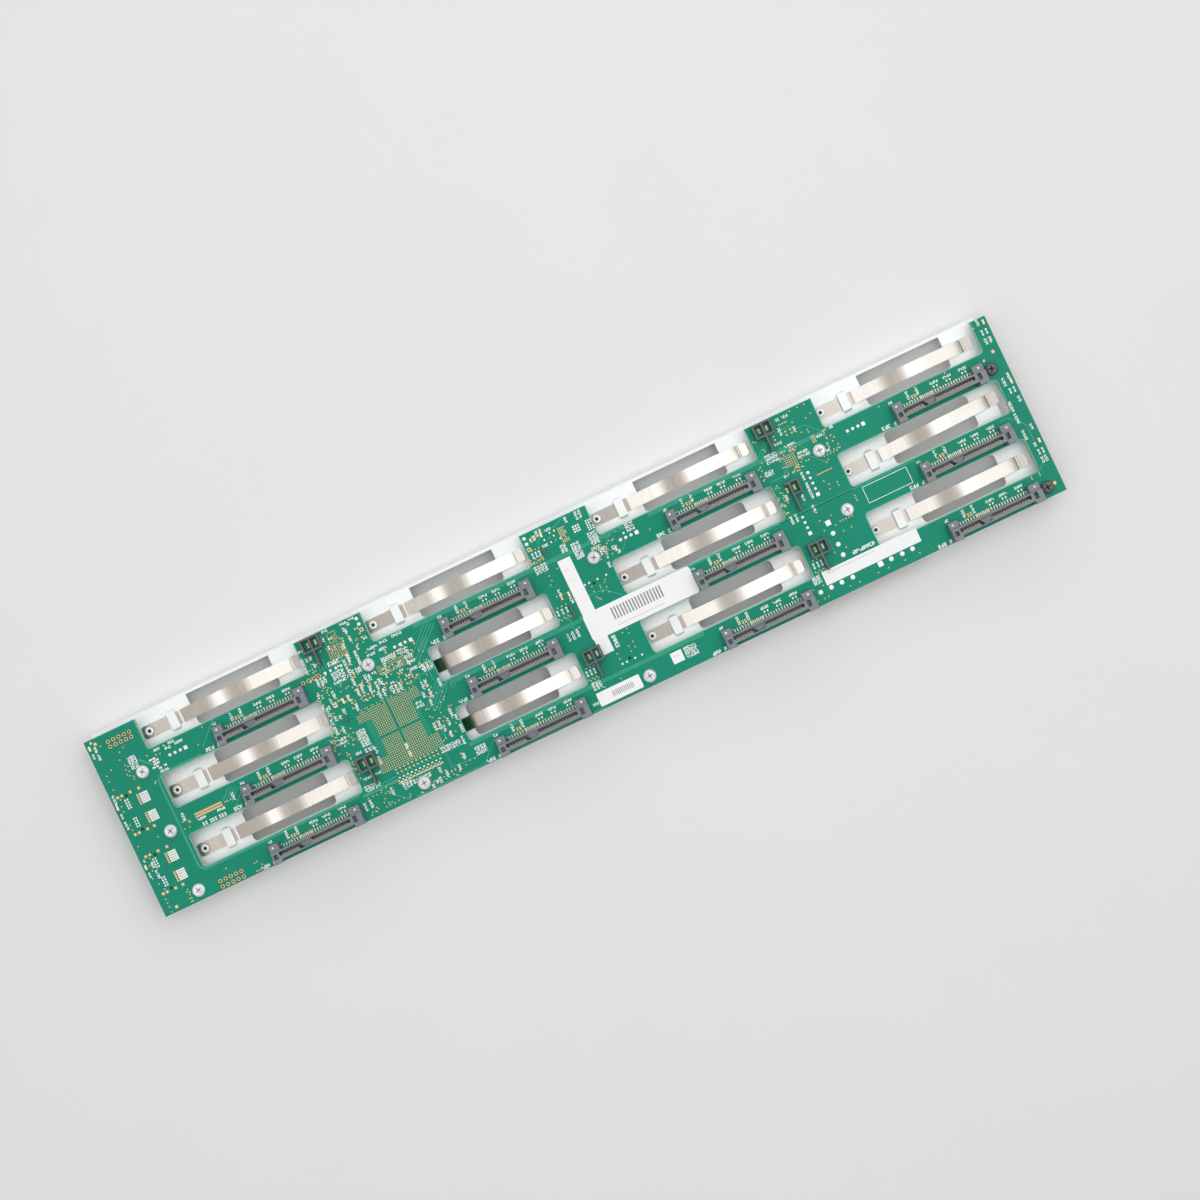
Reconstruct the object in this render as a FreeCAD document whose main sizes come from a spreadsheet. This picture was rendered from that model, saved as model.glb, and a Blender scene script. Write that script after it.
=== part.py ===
"""Drive backplane board: a windowed circuit board with twelve drive sockets, screwed on
standoffs to a flanged steel plate that carries twelve riveted leaf springs.

Frame: X along the board, Y towards the edge that the plate's flange passes, Z out of the
socket side. The part lies on the plate's two flanges, and its origin is under its middle.
"""
import FreeCAD, Part
import os
import re
import Sketcher

Vector = FreeCAD.Vector

SIZES = {
    # circuit board
    "board_length": 430.0,
    "board_width": 83.0,
    "board_thick": 2.4,
    "board_lift": 7.6,
    # the grid of drive places: columns along X, rows down from the flange edge
    "column_start": 24.1,
    "column_pitch": 107.6,
    "first_row_rise": 1.2,
    "row_pitch": 28.2,
    # board windows
    "window_width": 75.8,
    "window_height": 15.4,
    "window_corner": 1.5,
    "short_window_step": 19.5,
    # back plate, a sheet folded into a shallow channel
    "sheet_thick": 1.2,
    "bend_radius": 0.6,
    "flange_depth": 12.0,
    "flange_reach": 2.5,
    "plate_inset_left": 2.0,
    "plate_inset_right": 3.0,
    "plate_inset_bottom": 0.4,
    "opening_start": 23.0,
    "opening_width": 39.6,
    "opening_drop": 0.2,
    "opening_height": 15.0,
    "opening_corner": 2.0,
    "top_opening_drop": 0.6,
    # lanced bridge over each spring
    "bridge_start": 11.75,
    "bridge_width": 3.9,
    "bridge_half": 4.9,
    "bridge_top_half": 3.9,
    "bridge_rise": 1.75,
    "bridge_slot_half": 4.3,
    "bridge_round": 1.1,
    "bridge_leg": 0.5,
    "bridge_thick": 1.1,
    "bridge_margin": 0.3,
    # slot at the right end that the chassis locates in
    "locating_slot_inset": 5.1,
    "locating_slot_width": 4.6,
    "locating_slot_length": 14.2,
    # leaf spring
    "spring_drop": 8.5,
    "spring_width": 5.8,
    "spring_thick": 0.4,
    "spring_tail": 3.1,
    "spring_bend": 15.4,
    "spring_apex": 38.2,
    "spring_apex_rise": 8.3,
    "spring_land": 68.6,
    "spring_tip": 72.4,
    "spring_tip_rise": 1.3,
    "spring_bend_radius": 2.5,
    "spring_crest_radius": 36.0,
    "spring_land_radius": 1.6,
    "spring_toe_round": 1.3,
    "askew_angle": 1.4,
    # rivets that hold the springs
    "rivet_start": 2.2,
    "rivet_head_radius": 2.0,
    "rivet_head_rise": 0.9,
    "rivet_eye_radius": 0.5,
    "rivet_shank_radius": 1.2,
    "rivet_hole_radius": 1.25,
    "rivet_tail_radius": 1.8,
    "rivet_tail_drop": 0.8,
    # drive socket, measured from its own corner
    "socket_start": 29.4,
    "socket_drop": 19.1,
    "socket_length": 42.7,
    "socket_depth": 8.7,
    "socket_rise": 8.3,
    "ear_rise": 6.0,
    "ear_depth": 3.2,
    "left_ear": 4.3,
    "right_ear": 4.9,
    "foot_depth": 7.2,
    "left_foot": 3.9,
    "right_foot": 4.5,
    "slot_start": 3.5,
    "slot_end": 37.1,
    "slot_drop": 4.0,
    "slot_width": 1.6,
    "slot_deep": 6.5,
    "key_start": 12.9,
    "key_end": 18.6,
    "key_toe": 14.8,
    "key_drop": 6.6,
    "key_deep": 2.2,
    "guide_drop": 6.5,
    "left_guide_start": 0.8,
    "left_guide_width": 1.8,
    "left_guide_height": 2.0,
    "right_guide_start": 38.5,
    "right_guide_width": 1.7,
    "right_guide_height": 2.8,
    "guide_deep": 3.5,
    # the contacts' solder tails
    "tail_width": 0.45,
    "tail_thick": 0.3,
    "tail_length": 1.5,
    "wide_pitch": 1.27,
    "fine_pitch": 0.8,
    # screws and standoffs
    "screw_start": 6.2,
    "screw_drop": 23.3,
    "corner_screw_inset": 7.3,
    "screw_head_radius": 2.9,
    "screw_head_rise": 2.0,
    "screw_head_round": 0.9,
    "screw_shank_radius": 1.45,
    "screw_shank_length": 7.0,
    "board_hole_radius": 1.7,
    "standoff_flat": 5.5,
    "standoff_bore_radius": 1.5,
    # light shields and lamps
    "shield_start": 78.7,
    "shield_drop": 1.4,
    "shield_rise": 5.0,
    "shield_length": 8.7,
    "shield_depth": 6.6,
    "shield_wall": 0.9,
    "fin_start": 3.95,
    "fin_width": 0.9,
    "fin_reach": 13.6,
    "stub_rise": 2.4,
    "lamp_width": 0.9,
    "lamp_length": 2.2,
    "lamp_rise": 0.7,
    "lamp_drop": 4.7,
    # parts on the hidden side of the board
    "chip_side": 31.0,
    "chip_rise": 2.6,
    "chip_lid_inset": 3.0,
    "power_length": 24.4,
    "power_depth": 9.6,
    "power_rise": 11.0,
    "power_pitch": 5.08,
    "power_cavity": 3.6,
    "power_cavity_deep": 7.0,
    "data_length": 21.0,
    "data_depth": 8.6,
    "data_rise": 9.8,
    "data_wall": 1.2,
    "data_tongue_inset": 3.4,
    "header_depth": 4.6,
    "header_rise": 9.4,
    "header_wall": 0.9,
    "shroud_deep": 6.0,
    "connector_gap": 0.8,
    "label_thick": 0.12,
}

COLUMNS = range(4)
ROWS = range(3)
TILTED_SPRING = (3, 1)
SHORT_WINDOWS = [(1, 1), (1, 2)]
BOARD_SCREWS = [(0, 0), (0, 1), (0, 2), (1, 0), (1, 2), (2, 0), (2, 2), (3, 0), (3, 1)]
WHOLE_SHIELDS = [(0, 0), (0, 2), (1, 2), (2, 0), (2, 2)]
BROKEN_SHIELD = (2, 1)
LAMP_STEPS = (81.5, 85.0)

doc = FreeCAD.newDocument("DriveBackplane")
sheet = doc.addObject("Spreadsheet::Sheet", "Sizes")


def fill_sheet():
    """Write every driving dimension into the spreadsheet, one aliased cell each."""
    for row, (alias, value) in enumerate(SIZES.items(), start=1):
        sheet.set(f"A{row}", alias.replace("_", " "))
        sheet.set(f"B{row}", str(value))
        sheet.setAlias(f"B{row}", alias)
    doc.recompute()


def sized(text):
    """The formula with every dimension's name pointing at its cell."""
    return re.sub(r"[a-z_]+", lambda word: f"Sizes.{word[0]}" if word[0] in SIZES else word[0], str(text))


def number(text):
    """The value that a formula has now."""
    return float(sheet.evalExpression(sized(text)))


# ---- places on the board, as formulas -------------------------------------------------

BOARD_EDGE = "(board_width/2 - flange_reach/2)"
PLATE_TOP = "flange_depth"
BOARD_UNDER = "(flange_depth + board_lift)"
BOARD_TOP = "(flange_depth + board_lift + board_thick)"
SPRING_TOP = "(flange_depth + spring_thick)"


def across(column, step=0):
    """X of a point that is a step to the right of a column's start."""
    return f"(column_start - board_length/2 + {column}*column_pitch + ({step}))"


def down(row, step=0):
    """Y of a point that is a step below a row's start."""
    return f"({BOARD_EDGE} + first_row_rise - {row}*row_pitch - ({step}))"


def from_left(step):
    """X of a point at this distance from the board's left end."""
    return f"({step} - board_length/2)"


def from_edge(step):
    """Y of a point at this distance below the board's flange edge."""
    return f"({BOARD_EDGE} - ({step}))"


# ---- small drawing helpers ------------------------------------------------------------

def new_body(name):
    """An empty body whose label is the name of its piece."""
    body = doc.addObject("PartDesign::Body", name)
    body.Label = name
    return body


def place(body, x, y, z):
    """Bind a body's position to formulas."""
    for axis, text in zip("xyz", (x, y, z)):
        body.setExpression(f"Placement.Base.{axis}", sized(text))


def new_sketch(body, role="XY_Plane", height=0):
    """A sketch on one of the body's own planes, lifted along the plane's normal."""
    sketch = body.newObject("Sketcher::SketchObject", f"{body.Name}_sketch")
    plane = next(item for item in body.Origin.OriginFeatures if item.Role == role)
    sketch.AttachmentSupport = (plane, [""])
    sketch.MapMode = "FlatFace"
    sketch.setExpression("AttachmentOffset.Base.z", sized(height))
    return sketch


def bind(sketch, first, entries):
    """Bind the dimensions that start at this constraint to their formulas."""
    for index, text in enumerate(entries, start=first):
        sketch.setExpression(f"Constraints[{index}]", sized(text))


def draw_outline(sketch, points, closed=True):
    """Straight lines through the points, each point held by two bound dimensions."""
    spots = [Vector(number(x), number(y), 0) for x, y in points]
    ends = spots[1:] + spots[:1] if closed else spots[1:]
    start = sketch.GeometryCount
    sketch.addGeometry([Part.LineSegment(a, b) for a, b in zip(spots, ends)])
    count = len(ends)
    joints = count if closed else count - 1
    sketch.addConstraint([
        Sketcher.Constraint("Coincident", start + i, 2, start + (i + 1) % count, 1) for i in range(joints)
    ])
    first = sketch.ConstraintCount
    dimensions = []
    for i, spot in enumerate(spots):
        line, end = (start + i, 1) if i < count else (start + i - 1, 2)
        dimensions.append(Sketcher.Constraint("DistanceX", -1, 1, line, end, spot.x))
        dimensions.append(Sketcher.Constraint("DistanceY", -1, 1, line, end, spot.y))
    sketch.addConstraint(dimensions)
    bind(sketch, first, [text for point in points for text in point])


def draw_rectangle(sketch, left, bottom, right, top):
    """A rectangle with its sides along the sketch's axes, held by four bound dimensions."""
    x0, y0, x1, y1 = (number(text) for text in (left, bottom, right, top))
    corners = [Vector(x0, y0, 0), Vector(x1, y0, 0), Vector(x1, y1, 0), Vector(x0, y1, 0)]
    start = sketch.GeometryCount
    sketch.addGeometry([Part.LineSegment(a, b) for a, b in zip(corners, corners[1:] + corners[:1])])
    sketch.addConstraint([
        Sketcher.Constraint("Coincident", start + i, 2, start + (i + 1) % 4, 1) for i in range(4)
    ] + [
        Sketcher.Constraint("Horizontal", start),
        Sketcher.Constraint("Vertical", start + 1),
        Sketcher.Constraint("Horizontal", start + 2),
        Sketcher.Constraint("Vertical", start + 3),
    ])
    first = sketch.ConstraintCount
    sketch.addConstraint([
        Sketcher.Constraint("DistanceX", -1, 1, start, 1, x0),
        Sketcher.Constraint("DistanceY", -1, 1, start, 1, y0),
        Sketcher.Constraint("DistanceX", -1, 1, start + 1, 2, x1),
        Sketcher.Constraint("DistanceY", -1, 1, start + 1, 2, y1),
    ])
    bind(sketch, first, [left, bottom, right, top])


def draw_centred(sketch, x, y, width, height):
    """A rectangle of this width and height about a centre."""
    half_width, half_height = f"({width})/2", f"({height})/2"
    draw_rectangle(sketch, f"{x} - {half_width}", f"{y} - {half_height}",
                   f"{x} + {half_width}", f"{y} + {half_height}")


def draw_rounded_rectangle(sketch, left, bottom, right, top, radius):
    """A rectangle whose four corners are arcs of one bound radius."""
    start = sketch.GeometryCount
    draw_rectangle(sketch, left, bottom, right, top)
    for side in range(start, start + 4):
        arc = sketch.GeometryCount
        sketch.fillet(side, 2, number(radius), True, True)
        first = sketch.ConstraintCount
        sketch.addConstraint(Sketcher.Constraint("Radius", arc, number(radius)))
        bind(sketch, first, [radius])


def draw_circle(sketch, x, y, radius):
    """A circle whose centre and radius are bound."""
    centre = Vector(number(x), number(y), 0)
    start = sketch.addGeometry(Part.Circle(centre, Vector(0, 0, 1), number(radius)))
    first = sketch.ConstraintCount
    sketch.addConstraint([
        Sketcher.Constraint("DistanceX", -1, 1, start, 3, centre.x),
        Sketcher.Constraint("DistanceY", -1, 1, start, 3, centre.y),
        Sketcher.Constraint("Radius", start, number(radius)),
    ])
    bind(sketch, first, [x, y, radius])


def draw_hexagon(sketch, x, y, flat):
    """A six-sided outline, two flats along Y, that is this wide across its flats."""
    half = f"(({flat})/2)"
    side = f"({half}*tan(30))"
    draw_outline(sketch, [
        (f"{x} + {half}", f"{y} + {side}"), (x, f"{y} + 2*{side}"), (f"{x} - {half}", f"{y} + {side}"),
        (f"{x} - {half}", f"{y} - {side}"), (x, f"{y} - 2*{side}"), (f"{x} + {half}", f"{y} - {side}"),
    ])


def pad(body, sketch, length, reverse=False, centred=False):
    """Raise the sketch's outlines by a bound length."""
    feature = body.newObject("PartDesign::Pad", f"{body.Name}_pad")
    feature.Profile = sketch
    feature.Reversed = reverse
    feature.Midplane = centred
    feature.setExpression("Length", sized(length))
    sketch.Visibility = False
    return feature


def pocket(body, sketch, depth, centred=False):
    """Sink the sketch's outlines by a bound depth, against the sketch's normal."""
    feature = body.newObject("PartDesign::Pocket", f"{body.Name}_pocket")
    feature.Profile = sketch
    feature.Midplane = centred
    feature.setExpression("Length", sized(depth))
    doc.recompute()
    if feature.Shape.Volume >= feature.BaseFeature.Shape.Volume:
        raise RuntimeError(f"{feature.Name} cuts nothing")
    return feature


def fillet(body, keep_edge, radius):
    """Round every edge of the body that the test keeps."""
    doc.recompute()
    base = body.Tip
    names = [f"Edge{i}" for i, edge in enumerate(base.Shape.Edges, start=1) if keep_edge(edge)]
    feature = body.newObject("PartDesign::Fillet", f"{body.Name}_fillet")
    feature.Base = (base, names)
    feature.setExpression("Radius", sized(radius))
    doc.recompute()
    return feature


def chamfer(body, keep_edge, size):
    """Bevel every edge of the body that the test keeps."""
    doc.recompute()
    base = body.Tip
    names = [f"Edge{i}" for i, edge in enumerate(base.Shape.Edges, start=1) if keep_edge(edge)]
    feature = body.newObject("PartDesign::Chamfer", f"{body.Name}_chamfer")
    feature.Base = (base, names)
    feature.setExpression("Size", sized(size))
    doc.recompute()
    return feature


def repeat(body, features, pitch, count, role="X_Axis"):
    """Repeat the features along one of the body's own axes."""
    axis = next(item for item in body.Origin.OriginFeatures if item.Role == role)
    feature = body.newObject("PartDesign::LinearPattern", f"{body.Name}_pattern")
    feature.Originals = features
    feature.Direction = (axis, [""])
    feature.Occurrences = count
    feature.setExpression("Length", sized(f"{count - 1}*({pitch})"))
    body.Tip = feature
    return feature


def direction(edge):
    """The edge's unit direction, or None where it isn't straight."""
    if edge.Curve.TypeId != "Part::GeomLine":
        return None
    return (edge.Vertexes[1].Point - edge.Vertexes[0].Point).normalize()


def is_upright(edge, length):
    """Whether the edge is straight, along Z and of this length."""
    line = direction(edge)
    return line is not None and abs(line.z) > 0.999 and abs(edge.Length - length) < 1e-3


# ---- circuit board --------------------------------------------------------------------

def make_circuit_board():
    """The green board: its windows, open at the flange edge in the first row, and screw holes."""
    body = new_body("circuit_board")
    sheet_edge = new_sketch(body, height=BOARD_UNDER)
    draw_rectangle(sheet_edge, "-board_length/2", from_edge("board_width"), "board_length/2", BOARD_EDGE)
    pad(body, sheet_edge, "board_thick")
    windows = new_sketch(body, height=BOARD_TOP)
    for column in COLUMNS:
        for row in ROWS:
            step = "short_window_step" if (column, row) in SHORT_WINDOWS else 0
            rise = "first_row_rise" if row == 0 else 0
            draw_rectangle(windows, across(column, step), down(row, "window_height"),
                           across(column, "window_width"), down(row, f"-{rise}"))
    pocket(body, windows, "board_thick")
    half_length = number("board_length/2")
    edge_y = number(BOARD_EDGE)
    thick = number("board_thick")

    def in_window(edge):
        spot = edge.Vertexes[0].Point
        return is_upright(edge, thick) and abs(spot.x) < half_length - 1 and spot.y < edge_y - 1

    fillet(body, in_window, "window_corner")
    holes = new_sketch(body, height=BOARD_TOP)
    for x, y in screw_places() + corner_screw_places():
        draw_circle(holes, x, y, "board_hole_radius")
    pocket(body, holes, "board_thick")


# ---- back plate -----------------------------------------------------------------------

def make_back_plate():
    """The zinc-plated channel: openings, a lanced bridge at each spring, slots and cut-outs."""
    body = new_body("back_plate")
    outer_top = from_edge("-flange_reach")
    outer_bottom = from_edge("board_width - plate_inset_bottom")
    inner_top, inner_bottom = f"{outer_top} - sheet_thick", f"{outer_bottom} + sheet_thick"
    sheet_under = f"{PLATE_TOP} - sheet_thick"
    profile = new_sketch(body, "YZ_Plane", from_left("plate_inset_left"))
    draw_outline(profile, [
        (outer_top, "0"), (outer_top, PLATE_TOP), (outer_bottom, PLATE_TOP), (outer_bottom, "0"),
        (inner_bottom, "0"), (inner_bottom, sheet_under), (inner_top, sheet_under), (inner_top, "0"),
    ])
    pad(body, profile, "board_length - plate_inset_left - plate_inset_right")
    long_edge = number("board_length - plate_inset_left - plate_inset_right")
    top, under = number(PLATE_TOP), number(sheet_under)
    inner = number(inner_top), number(inner_bottom)

    def is_bend(edge, level):
        line = direction(edge)
        if line is None or abs(edge.Length - long_edge) > 1e-3:
            return False
        spot = edge.Vertexes[0].Point
        on_level = abs(spot.z - level) < 1e-3
        return on_level and (level == top or min(abs(spot.y - y) for y in inner) < 1e-3)

    fillet(body, lambda edge: is_bend(edge, top), "bend_radius + sheet_thick")
    fillet(body, lambda edge: is_bend(edge, under), "bend_radius")

    openings = new_sketch(body, height=PLATE_TOP)
    for row in ROWS:
        drop = "top_opening_drop" if row == 0 else "opening_drop"
        draw_rectangle(openings, across(0, "opening_start"), down(row, "opening_drop + opening_height"),
                       across(0, "opening_start + opening_width"), down(row, drop))
    first = pocket(body, openings, "sheet_thick")
    repeat(body, [first], "column_pitch", len(COLUMNS))
    first_top = number(down(0, "top_opening_drop"))
    thick = number("sheet_thick")

    def in_opening(edge):
        return is_upright(edge, thick) and abs(edge.Vertexes[0].Point.y - first_top) > 0.01 \
            and abs(edge.Vertexes[0].Point.x) < long_edge/2 - 1

    fillet(body, in_opening, "opening_corner")
    cut_bridge_slots(body)
    raise_bridges(body)
    cut_plate_holes(body)


def cut_bridge_slots(body):
    """The gaps that the lanced bridges were raised from."""
    slots = new_sketch(body, height=PLATE_TOP)
    for row in ROWS:
        middle = down(row, "spring_drop")
        draw_rectangle(slots, across(0, "bridge_start"), f"{middle} - bridge_slot_half",
                       across(0, "bridge_start + bridge_width"), f"{middle} + bridge_slot_half")
    first = pocket(body, slots, "sheet_thick")
    repeat(body, [first], "column_pitch", len(COLUMNS))


def raise_bridges(body):
    """The raised straps, one over each spring, folded out of the sheet at both ends."""
    strap = new_sketch(body, "YZ_Plane", across(0, "bridge_start"))
    low = f"({PLATE_TOP} - sheet_thick)"
    high = f"({PLATE_TOP} + bridge_rise)"
    inner_half = "(bridge_top_half - bridge_leg)"
    for row in ROWS:
        middle = down(row, "spring_drop")
        draw_outline(strap, [
            (f"{middle} - bridge_half", low), (f"{middle} - bridge_half", PLATE_TOP),
            (f"{middle} - bridge_top_half", high), (f"{middle} + bridge_top_half", high),
            (f"{middle} + bridge_half", PLATE_TOP), (f"{middle} + bridge_half", low),
            (f"{middle} + bridge_slot_half", low), (f"{middle} + {inner_half}", f"{high} - bridge_thick"),
            (f"{middle} - {inner_half}", f"{high} - bridge_thick"), (f"{middle} - bridge_slot_half", low),
        ])
    first = pad(body, strap, "bridge_width")
    repeat(body, [first], "column_pitch", len(COLUMNS))
    trim = new_sketch(body, height=high)
    for row in ROWS:
        middle = down(row, "spring_drop")
        left, right = across(0, "bridge_start"), across(0, "bridge_start + bridge_width")
        near, far = f"{middle} - bridge_half", f"{middle} + bridge_half"
        draw_rounded_rectangle(trim, left, near, right, far, "bridge_round")
        draw_rectangle(trim, f"{left} - bridge_margin", f"{near} - bridge_margin",
                       f"{right} + bridge_margin", f"{far} + bridge_margin")
    first = pocket(body, trim, "bridge_rise")
    repeat(body, [first], "column_pitch", len(COLUMNS))


def cut_plate_holes(body):
    """Rivet holes, the locating slot at the right end and the cut-outs for the rear connectors."""
    holes = new_sketch(body, height=PLATE_TOP)
    for x, y in rivet_places():
        draw_circle(holes, x, y, "rivet_hole_radius")
    draw_rectangle(holes, from_left("board_length - locating_slot_inset - locating_slot_width"),
                   from_edge("board_width/2 + locating_slot_length/2"),
                   from_left("board_length - locating_slot_inset"),
                   from_edge("board_width/2 - locating_slot_length/2"))
    for x, y, length, depth in rear_connectors():
        if y == LOW_POWER_Y:
            continue
        draw_centred(holes, x, y, f"{length} + 2*connector_gap", f"{depth} + 2*connector_gap")
    pocket(body, holes, "sheet_thick")
    notch = new_sketch(body, height=PLATE_TOP)
    left, right = LOW_POWER_X
    reach = "(power_length/2 + connector_gap)"
    draw_rectangle(notch, f"{left} - {reach}", from_edge("board_width + 1"),
                   f"{right} + {reach}", f"{LOW_POWER_Y} + power_depth/2 + connector_gap")
    pocket(body, notch, "flange_depth")


# ---- springs and rivets ---------------------------------------------------------------

def rivet_places():
    """The centre of each spring's rivet."""
    return [(across(column, "rivet_start"), down(row, "spring_drop")) for column in COLUMNS for row in ROWS]


def make_leaf_spring(column, row):
    """One strip: flat under its bridge, arched over the opening, with a turned-up rounded toe."""
    body = new_body(f"leaf_spring_c{column + 1}_r{row + 1}")
    place(body, across(column, "rivet_start"), down(row, "spring_drop"), PLATE_TOP)
    if (column, row) == TILTED_SPRING:
        body.setExpression("Placement.Rotation.Angle", sized("askew_angle"))
    middle = "spring_thick/2"
    spine = new_sketch(body, "XZ_Plane")
    draw_outline(spine, [
        ("-spring_tail", middle), ("spring_bend", middle), ("spring_apex", f"{middle} + spring_apex_rise"),
        ("spring_land", middle), ("spring_tip", f"{middle} + spring_tip_rise"),
    ], closed=False)
    for corner, radius in enumerate(("spring_bend_radius", "spring_crest_radius", "spring_land_radius")):
        arc = spine.GeometryCount
        spine.fillet(corner, 2, number(radius), True, True)
        first = spine.ConstraintCount
        spine.addConstraint(Sketcher.Constraint("Radius", arc, number(radius)))
        bind(spine, first, [radius])
    section = new_sketch(body, "YZ_Plane", "-spring_tail")
    draw_rectangle(section, "-spring_width/2", "0", "spring_width/2", "spring_thick")
    strip = body.newObject("PartDesign::AdditivePipe", f"{body.Name}_strip")
    strip.Profile = section
    strip.Spine = (spine, [])
    strip.Mode = "Standard"
    doc.recompute()
    ends = number("-spring_tail"), number("spring_tip")
    thick = number("spring_thick")

    def is_end_corner(edge):
        line = direction(edge)
        if line is None or abs(line.y) > 1e-3 or abs(edge.Length - thick) > 1e-3:
            return False
        x = edge.Vertexes[0].Point.x
        return min(abs(x - end) for end in ends) < 1.0

    fillet(body, is_end_corner, "spring_toe_round")
    eye = new_sketch(body, height="spring_thick")
    draw_circle(eye, "0", "0", "rivet_hole_radius")
    pocket(body, eye, "spring_thick")


def make_rivets():
    """Tubular rivets: a flat-domed eyed head on each spring and a closed head behind the plate."""
    body = new_body("spring_rivets")
    heads = new_sketch(body, height=SPRING_TOP)
    shanks = new_sketch(body, height=f"{PLATE_TOP} - sheet_thick")
    tails = new_sketch(body, height=f"{PLATE_TOP} - sheet_thick")
    eyes = new_sketch(body, height=f"{SPRING_TOP} + rivet_head_rise")
    for x, y in rivet_places():
        draw_circle(heads, x, y, "rivet_head_radius")
        draw_circle(shanks, x, y, "rivet_shank_radius")
        draw_circle(tails, x, y, "rivet_tail_radius")
        draw_circle(eyes, x, y, "rivet_eye_radius")
    pad(body, heads, "rivet_head_rise")
    pad(body, shanks, "sheet_thick + spring_thick")
    pad(body, tails, "rivet_tail_drop", reverse=True)
    top = number(f"{SPRING_TOP} + rivet_head_rise")
    radius = number("rivet_head_radius")

    def is_head_rim(edge):
        round_edge = edge.Curve.TypeId == "Part::GeomCircle" and abs(edge.Curve.Radius - radius) < 1e-3
        return round_edge and abs(edge.Curve.Center.z - top) < 1e-3

    chamfer(body, is_head_rim, "rivet_head_rise*0.6")
    pocket(body, eyes, "rivet_head_rise")


# ---- drive sockets and their contacts -------------------------------------------------

def make_drive_socket(column, row):
    """A moulded socket: body, end blocks and ears, with its keyed slot and two guide pockets."""
    body = new_body(f"drive_socket_c{column + 1}_r{row + 1}")
    place(body, across(column, "socket_start"), down(row, "socket_drop"), BOARD_TOP)
    far = "socket_length"
    shell = new_sketch(body)
    draw_outline(shell, [
        ("0", "-ear_depth"), (far, "-ear_depth"), (far, "-socket_depth"),
        (f"{far} - right_foot", "-socket_depth"), (f"{far} - right_foot", "-foot_depth"),
        ("left_foot", "-foot_depth"), ("left_foot", "-socket_depth"), ("0", "-socket_depth"),
    ])
    pad(body, shell, "socket_rise")
    ears = new_sketch(body)
    draw_rectangle(ears, "0", "-ear_depth", "left_ear", "0")
    draw_rectangle(ears, f"{far} - right_ear", "-ear_depth", far, "0")
    pad(body, ears, "ear_rise")
    slot = new_sketch(body, height="socket_rise")
    near, low = "-slot_drop", "-slot_drop - slot_width"
    draw_outline(slot, [
        ("slot_start", near), ("key_start", near), ("key_toe", "-key_drop"),
        ("key_start - 0.2", "-key_drop"), ("key_start - 0.2", low), ("slot_start", low),
    ])
    draw_rectangle(slot, "key_end", low, "slot_end", near)
    pocket(body, slot, "slot_deep")
    key = new_sketch(body, height="socket_rise")
    draw_outline(key, [
        ("key_start", near), ("key_end", near), ("key_end", low), ("key_end - 1.2", "-key_drop"),
        ("key_toe", "-key_drop"),
    ])
    pocket(body, key, "key_deep")
    guides = new_sketch(body, height="socket_rise")
    for side in ("left", "right"):
        start = f"{side}_guide_start"
        draw_rectangle(guides, start, "-guide_drop",
                       f"{start} + {side}_guide_width", f"-guide_drop + {side}_guide_height")
    pocket(body, guides, "guide_deep")


def make_contacts(column, row):
    """The solder tails of one socket: two groups at the wide pitch with a fine group between."""
    body = new_body(f"socket_contacts_c{column + 1}_r{row + 1}")
    place(body, across(column, "socket_start"), down(row, "socket_drop + ear_depth"), BOARD_TOP)
    for start, pitch, count in ((5.9, "wide_pitch", 7), (14.1, "fine_pitch", 7), (19.5, "wide_pitch", 15)):
        group = new_sketch(body)
        draw_rectangle(group, f"{start} - tail_width/2", "0", f"{start} + tail_width/2", "tail_length")
        first = pad(body, group, "tail_thick")
        repeat(body, [first], pitch, count)


# ---- screws and standoffs -------------------------------------------------------------

def screw_places():
    """The centres of the plain screws."""
    return [(across(column, "-screw_start"), down(row, "screw_drop")) for column, row in BOARD_SCREWS]


def corner_screw_places():
    """The centres of the two dark screws at the board's right end."""
    return [(from_left("board_length - corner_screw_inset"), down(row, "screw_drop")) for row in (0, 2)]


def make_screws(name, places):
    """Pan-head screws through the board, each one solid of the group."""
    body = new_body(name)
    heads = new_sketch(body, height=BOARD_TOP)
    shanks = new_sketch(body, height=BOARD_TOP)
    for x, y in places:
        draw_circle(heads, x, y, "screw_head_radius")
        draw_circle(shanks, x, y, "screw_shank_radius")
    pad(body, heads, "screw_head_rise")
    pad(body, shanks, "screw_shank_length", reverse=True)
    top = number(f"{BOARD_TOP} + screw_head_rise")

    def is_head_rim(edge):
        return edge.Curve.TypeId == "Part::GeomCircle" and abs(edge.Curve.Center.z - top) < 1e-3

    chamfer(body, is_head_rim, "screw_head_round")


def make_standoffs():
    """Six-sided threaded standoffs between the plate and the board, one under each screw."""
    body = new_body("plate_standoffs")
    posts = new_sketch(body, height=PLATE_TOP)
    for x, y in screw_places() + corner_screw_places():
        draw_hexagon(posts, x, y, "standoff_flat")
        draw_circle(posts, x, y, "standoff_bore_radius")
    pad(body, posts, "board_lift")


# ---- light shields and lamps ----------------------------------------------------------

FIN_END = "(fin_start + fin_width)"
CELL_END = "(shield_length - shield_wall)"
CELL_LOW = "(shield_wall - shield_depth)"


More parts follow.
